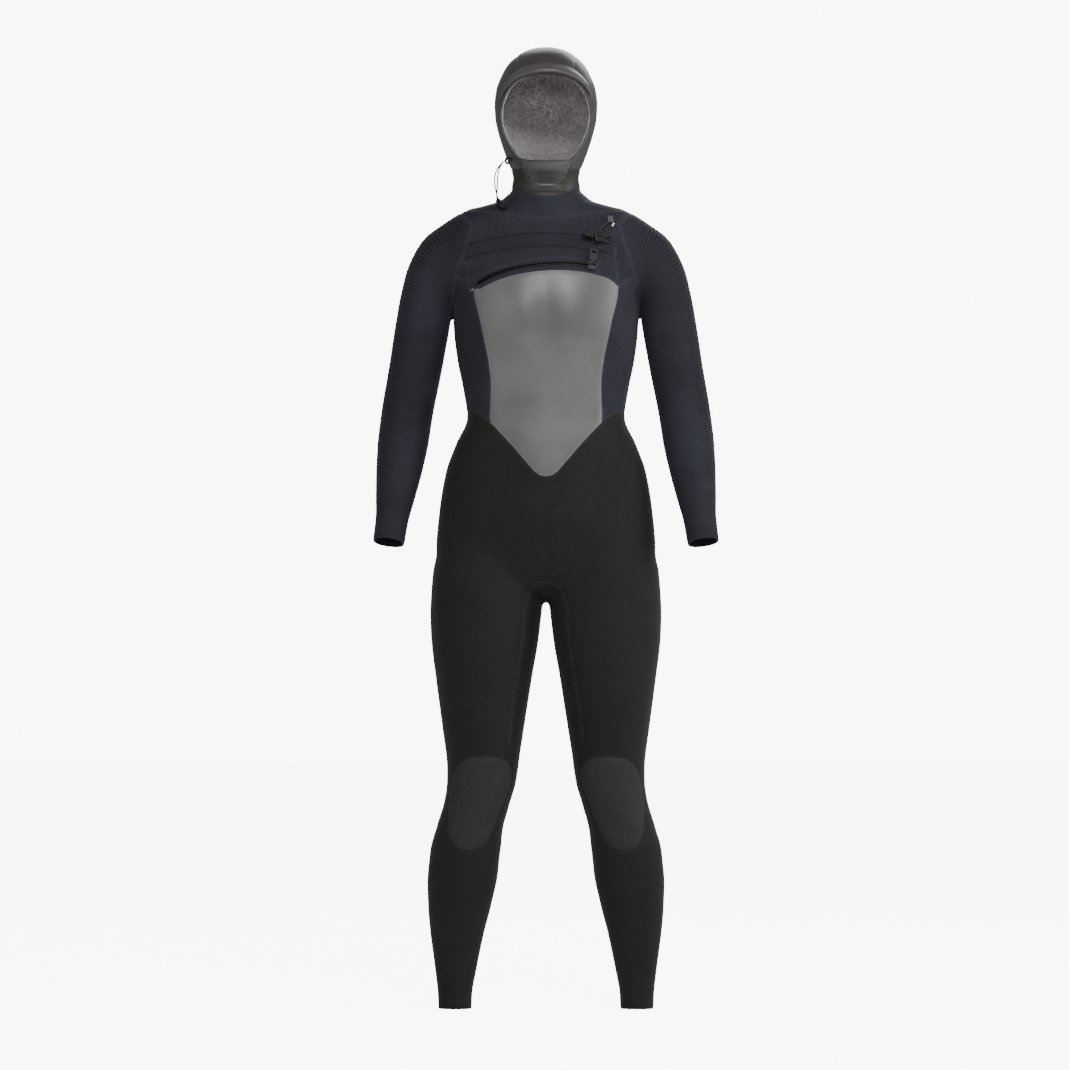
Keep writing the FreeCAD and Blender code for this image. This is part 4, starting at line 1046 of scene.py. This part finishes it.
def knit(look, amount=0.00006):
    """A fine two-way jersey knit."""
    one = look.wave(330)
    two = look.wave(260, (0, math.radians(90), 0))
    look.add_height(look.math("ADD", one, two), amount * 0.5)
    look.add_height(look.noise(1800, 2), amount)


RIB_PITCH, EMBOSS_PITCH = 0.0044, 0.0052


def jersey(name, color, shade, light, thread, ribbed=False, emboss=False):
    look = Look(name, color, 0.78, Sheen_Weight=0.06, Sheen_Roughness=0.4)
    look.shader.inputs["Specular IOR Level"].default_value = 0.22
    look.mottle(shade, (9, 4), 0.38, 0.2, 0.5)
    look.mottle(light, (900, 2), 0.62, 0.16, 0.22)
    look.rough(look.noise(140, 3), 0.68, 0.86)
    knit(look)
    if ribbed:
        turn = look.math("MULTIPLY", look.attribute("rib"), 2 * math.pi / RIB_PITCH)
        rib = look.math("POWER", look.math("MULTIPLY_ADD", look.math("SINE", turn), 0.5, 0.5), 1.6)
        strength = look.attribute("ribs")
        look.add_height(look.math("MULTIPLY", rib, strength), 0.0008)
        # Painted shade and highlight: the rib valleys are tinted darker and the crests lighter, on top of
        # the real rib relief.
        valley_painted_shade, crest_painted_highlight = look.math("SUBTRACT", 1.0, rib), look.math("POWER", rib, 3.0)
        look.tint(shade, look.math("MULTIPLY", valley_painted_shade, look.math("MULTIPLY", strength, 0.55)))
        look.tint(light, look.math("MULTIPLY", crest_painted_highlight, look.math("MULTIPLY", strength, 0.28)))
    if emboss:
        x, z = look.axis("X"), look.axis("Z")
        zigzag = look.math("ADD", look.math("MULTIPLY", look.math("PINGPONG", x, 0.006), 0.9), z)
        turn = look.math("MULTIPLY", zigzag, 2 * math.pi / EMBOSS_PITCH)
        line = look.math("MULTIPLY_ADD", look.math("SINE", turn), 0.5, 0.5)
        bow = look.math("ADD", z, look.math("MULTIPLY", look.math("MULTIPLY", x, x), 1.1))
        upper = look.ridge(bow, -0.018, 0.022)
        lower = look.ridge(bow, -0.076, 0.012)
        # The raised bands get real relief plus a painted highlight: a lighter tint where they stand up.
        band = look.math("MULTIPLY", look.math("ADD", upper, lower, clamp=True), line)
        look.add_height(band, 0.0014)
        look.tint(light, look.math("MULTIPLY", band, 0.75))
        # Painted shade: the creases between the bands are tinted darker, besides their real dip.
        creases = [look.ridge(bow, height, 0.0014) for height in (-0.042, -0.0635)]
        crease_dip_and_painted_shade = look.math("ADD", *creases, clamp=True)
        look.tint(shade, look.math("MULTIPLY", crease_dip_and_painted_shade, 0.7))
        look.add_height(crease_dip_and_painted_shade, -0.0007)
    stitched(look, thread, light)
    return look.done()


def rubber(name, color, roughness, grain, light, coat=0.0):
    """Smooth-skin neoprene: a fine cell grain, uneven gloss, light scuffs."""
    look = Look(name, color, roughness)
    look.shader.inputs["Specular IOR Level"].default_value = 0.5
    look.shader.inputs["Coat Weight"].default_value = coat
    look.shader.inputs["Coat Roughness"].default_value = 0.35
    look.mottle(light, (6, 4), 0.62, 0.22, 0.35)
    look.mottle(light, (2400, 1), 0.66, 0.12, 0.25)
    look.rough(look.noise(40, 5), roughness - 0.05, roughness + 0.08)
    look.add_height(look.cells(1500), grain)
    look.add_height(look.noise(260, 3), grain * 1.4)
    stitched(look, light, light)
    return look.done()


def fleece():
    look = Look("looped_fleece", (0.66, 0.60, 0.59), 0.95, Sheen_Weight=0.6, Sheen_Roughness=0.6)
    look.mottle((0.30, 0.265, 0.26), (150, 5, 0.7), 0.40, 0.13, 0.75)
    look.mottle((0.95, 0.89, 0.88), (240, 4, 0.7), 0.63, 0.12, 0.55)
    look.mottle((0.40, 0.36, 0.35), (30, 3), 0.4, 0.14, 0.4)
    # Painted shade: the lining is tinted darker towards its bottom, below 0.15 m, where the inside of the
    # hood lies in shade.
    low = look.math("DIVIDE", look.math("SUBTRACT", 0.150, look.axis("Z")), 0.055, clamp=True)
    look.tint((0.13, 0.115, 0.112), look.math("MULTIPLY", low, 0.9))
    look.add_height(look.noise(420, 5, 0.7), 0.004)
    look.add_height(look.noise(110, 3), 0.004)
    return look.done()


def moulded(name, color, roughness, metallic=0.0):
    look = Look(name, color, roughness, Metallic=metallic)
    look.shader.inputs["Specular IOR Level"].default_value = 0.3
    worn = tuple(min(1, c * 1.6 + 0.003) for c in color)
    look.mottle(worn, (260, 4), 0.62, 0.14, 0.4)
    look.rough(look.noise(500, 3), roughness - 0.08, roughness + 0.1)
    look.add_height(look.noise(1500, 2), 0.00004)
    return look.done()


def braided():
    look = Look("braided_cord", (0.007, 0.007, 0.008), 0.75, Sheen_Weight=0.05)
    weave = look.math("MAXIMUM", look.wave(420, (0.6, 0.6, 0)), look.wave(420, (-0.6, 0.6, 0)))
    look.tint((0.026, 0.026, 0.028), look.math("MULTIPLY", weave, 0.5))
    look.add_height(weave, 0.00005)
    return look.done()


# Jersey colours: base; shade (a random dark mottle, and painted shade in rib valleys and emboss creases);
# light (a fine mottle, the seam line, and painted highlights on rib crests and emboss bands); thread
NAVY = ((0.0165, 0.0168, 0.0250), (0.0055, 0.0056, 0.009), (0.034, 0.035, 0.046), (0.06, 0.062, 0.08))
BLACK = ((0.0098, 0.0094, 0.0085), (0.0055, 0.0053, 0.0048), (0.024, 0.023, 0.021), (0.06, 0.06, 0.055))
LOOKS = {
    "smooth_skin": rubber("smooth_skin_rubber", (0.080, 0.080, 0.079), 0.44, 0.00005,
                          (0.17, 0.17, 0.168), 0.15),
    "hood_rubber": rubber("hood_rubber", (0.030, 0.029, 0.027), 0.42, 0.00005, (0.060, 0.059, 0.056), 0.1),
    "navy_jersey": jersey("navy_jersey", *NAVY, ribbed=True),
    "navy_embossed": jersey("navy_embossed_jersey", *NAVY, emboss=True),
    "black_jersey": jersey("black_jersey", *BLACK),
    "knee_rubber": rubber("knee_rubber", (0.0075, 0.0075, 0.0078), 0.78, 0.00016, (0.014, 0.014, 0.015)),
    "fleece": fleece(),
    "binding": rubber("edge_binding", (0.024, 0.0235, 0.022), 0.55, 0.00004, (0.045, 0.044, 0.042), 0.05),
    # Painted shade: the neck's rubber is a darker copy of the hood rubber, standing in for the shade under
    # the chin.
    "neck_rubber": rubber("neck_rubber", (0.0125, 0.012, 0.011), 0.55, 0.00005, (0.026, 0.025, 0.023)),
    # Painted highlight: the chin's rubber is a lighter copy of the hood rubber, standing in for the
    # highlight on the chin bulge; its lower roughness and coat are real gloss.
    "chin_rubber": rubber("chin_rubber", (0.040, 0.039, 0.036), 0.32, 0.00003, (0.070, 0.069, 0.066), 0.5),
    "cord": braided(),
    "plastic": moulded("moulded_plastic", (0.010, 0.010, 0.011), 0.36),
    "teeth": moulded("zip_teeth_plastic", (0.008, 0.008, 0.010), 0.45),
    "pull_rubber": moulded("pull_rubber", (0.012, 0.012, 0.013), 0.55),
    "slider": moulded("dark_coated_metal", (0.030, 0.030, 0.032), 0.34, 0.6),
    "metal": moulded("brushed_metal", (0.62, 0.62, 0.60), 0.28, 1.0),
}

# ---------------------------------------------------------------- bodies, slots and finishes
slots = {p["node"]: p["material_slot"] for p in frame["record"]["subparts"]}
body_of_node = {n: body for body, members in frame["record"]["behaviour"]["bodies"].items() for n in members}
BENDING = ("elbow", "knee", "knee_pad")
SPECIAL_LOOKS = {"chest_flap": "navy_embossed", "hood_neck": "neck_rubber", "hood_chin_panel": "chin_rubber",
                  "zip_slider": "slider", "zip_end_stops": "slider"}


def look_of(name):
    return LOOKS[SPECIAL_LOOKS.get(name, slots[name])]


for name, obj in made.items():
    if plain(name) not in BENDING:
        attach(obj, body_of_node.get(name, "root"))
    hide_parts(name)
    obj.data.materials.append(look_of(name))
for name, obj in frame["nodes"].items():
    if name not in made:
        for i in range(max(1, len(obj.material_slots))):
            if not obj.material_slots:
                obj.data.materials.append(look_of(name))
            obj.material_slots[i].material = look_of(name)
for side, sign in (("left", 1), ("right", -1)):
    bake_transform(made["elbow_" + side])
    for piece in ("knee_", "knee_pad_"):
        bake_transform(made[piece + side])

# ---------------------------------------------------------------- floor, lights and camera
scene = bpy.context.scene
FLOOR_GLOW = 8.0          # how much the floor is lifted towards the plain background
BACKGROUND, AMBIENT = 9.0, 0.27
floor = new_mesh("floor", np.array([[-14, -14, HEM - 0.002], [14, -14, HEM - 0.002], [14, 14, HEM - 0.002],
                                    [-14, 14, HEM - 0.002]]), [[0, 1, 2, 3]])
floor_look = Look("pale_floor", (0.92, 0.92, 0.92), 0.9)
floor_look.tint((0.88, 0.88, 0.88), floor_look.noise(2, 2))
light_path = floor_look.node("LightPath")
floor_look.link(floor_look.math("MULTIPLY", light_path.outputs["Is Camera Ray"], FLOOR_GLOW),
                floor_look.shader.inputs["Emission Strength"])
floor_look.shader.inputs["Emission Color"].default_value = (1, 1, 1, 1)
floor.data.materials.append(floor_look.done())

world = bpy.data.worlds.new("studio")
scene.world = world
world.use_nodes = True
nodes, links = world.node_tree.nodes, world.node_tree.links
seen = nodes.new("ShaderNodeLightPath")
strength = nodes.new("ShaderNodeMapRange")
strength.inputs["To Min"].default_value = AMBIENT
strength.inputs["To Max"].default_value = BACKGROUND
links.new(seen.outputs["Is Camera Ray"], strength.inputs["Value"])
links.new(strength.outputs["Result"], nodes["Background"].inputs["Strength"])
nodes["Background"].inputs["Color"].default_value = (1, 1, 1, 1)


def lamp(name, place, target, size, power):
    light = bpy.data.lights.new(name, "AREA")
    light.shape = "RECTANGLE"
    light.size, light.size_y = size
    light.energy = power
    obj = bpy.data.objects.new(name, light)
    obj.location = place
    obj.rotation_euler = (Vector(target) - Vector(place)).to_track_quat("-Z", "Y").to_euler()
    scene.collection.objects.link(obj)


lamp("key", (0.5, -3.2, 1.9), (0, 0, -0.25), (1.1, 0.8), 95)
lamp("fill_left", (-2.6, -2.4, 0.2), (0, 0, -0.5), (1.0, 2.4), 14)
lamp("side_right", (3.0, -0.6, 0.4), (0, 0, -0.4), (1.0, 2.4), 60)
lamp("head_fill", (0.05, -2.6, 0.45), (0, 0, 0.14), (0.4, 0.3), 10)
lamp("back", (0.6, 3.0, 1.6), (0, 0, -0.4), (2.4, 1.4), 50)

CAMERA_AWAY, VIEW_WIDTH = 13.0, 1.775
camera = bpy.data.objects.new("camera", bpy.data.cameras.new("camera"))
camera.location = (-0.019, -CAMERA_AWAY, -0.540)
camera.rotation_euler = (math.radians(90), 0, 0)
camera.data.sensor_fit = "HORIZONTAL"
camera.data.angle = 2 * math.atan(VIEW_WIDTH / 2 / CAMERA_AWAY)
scene.collection.objects.link(camera)
scene.camera = camera

bpy.context.view_layer.update()
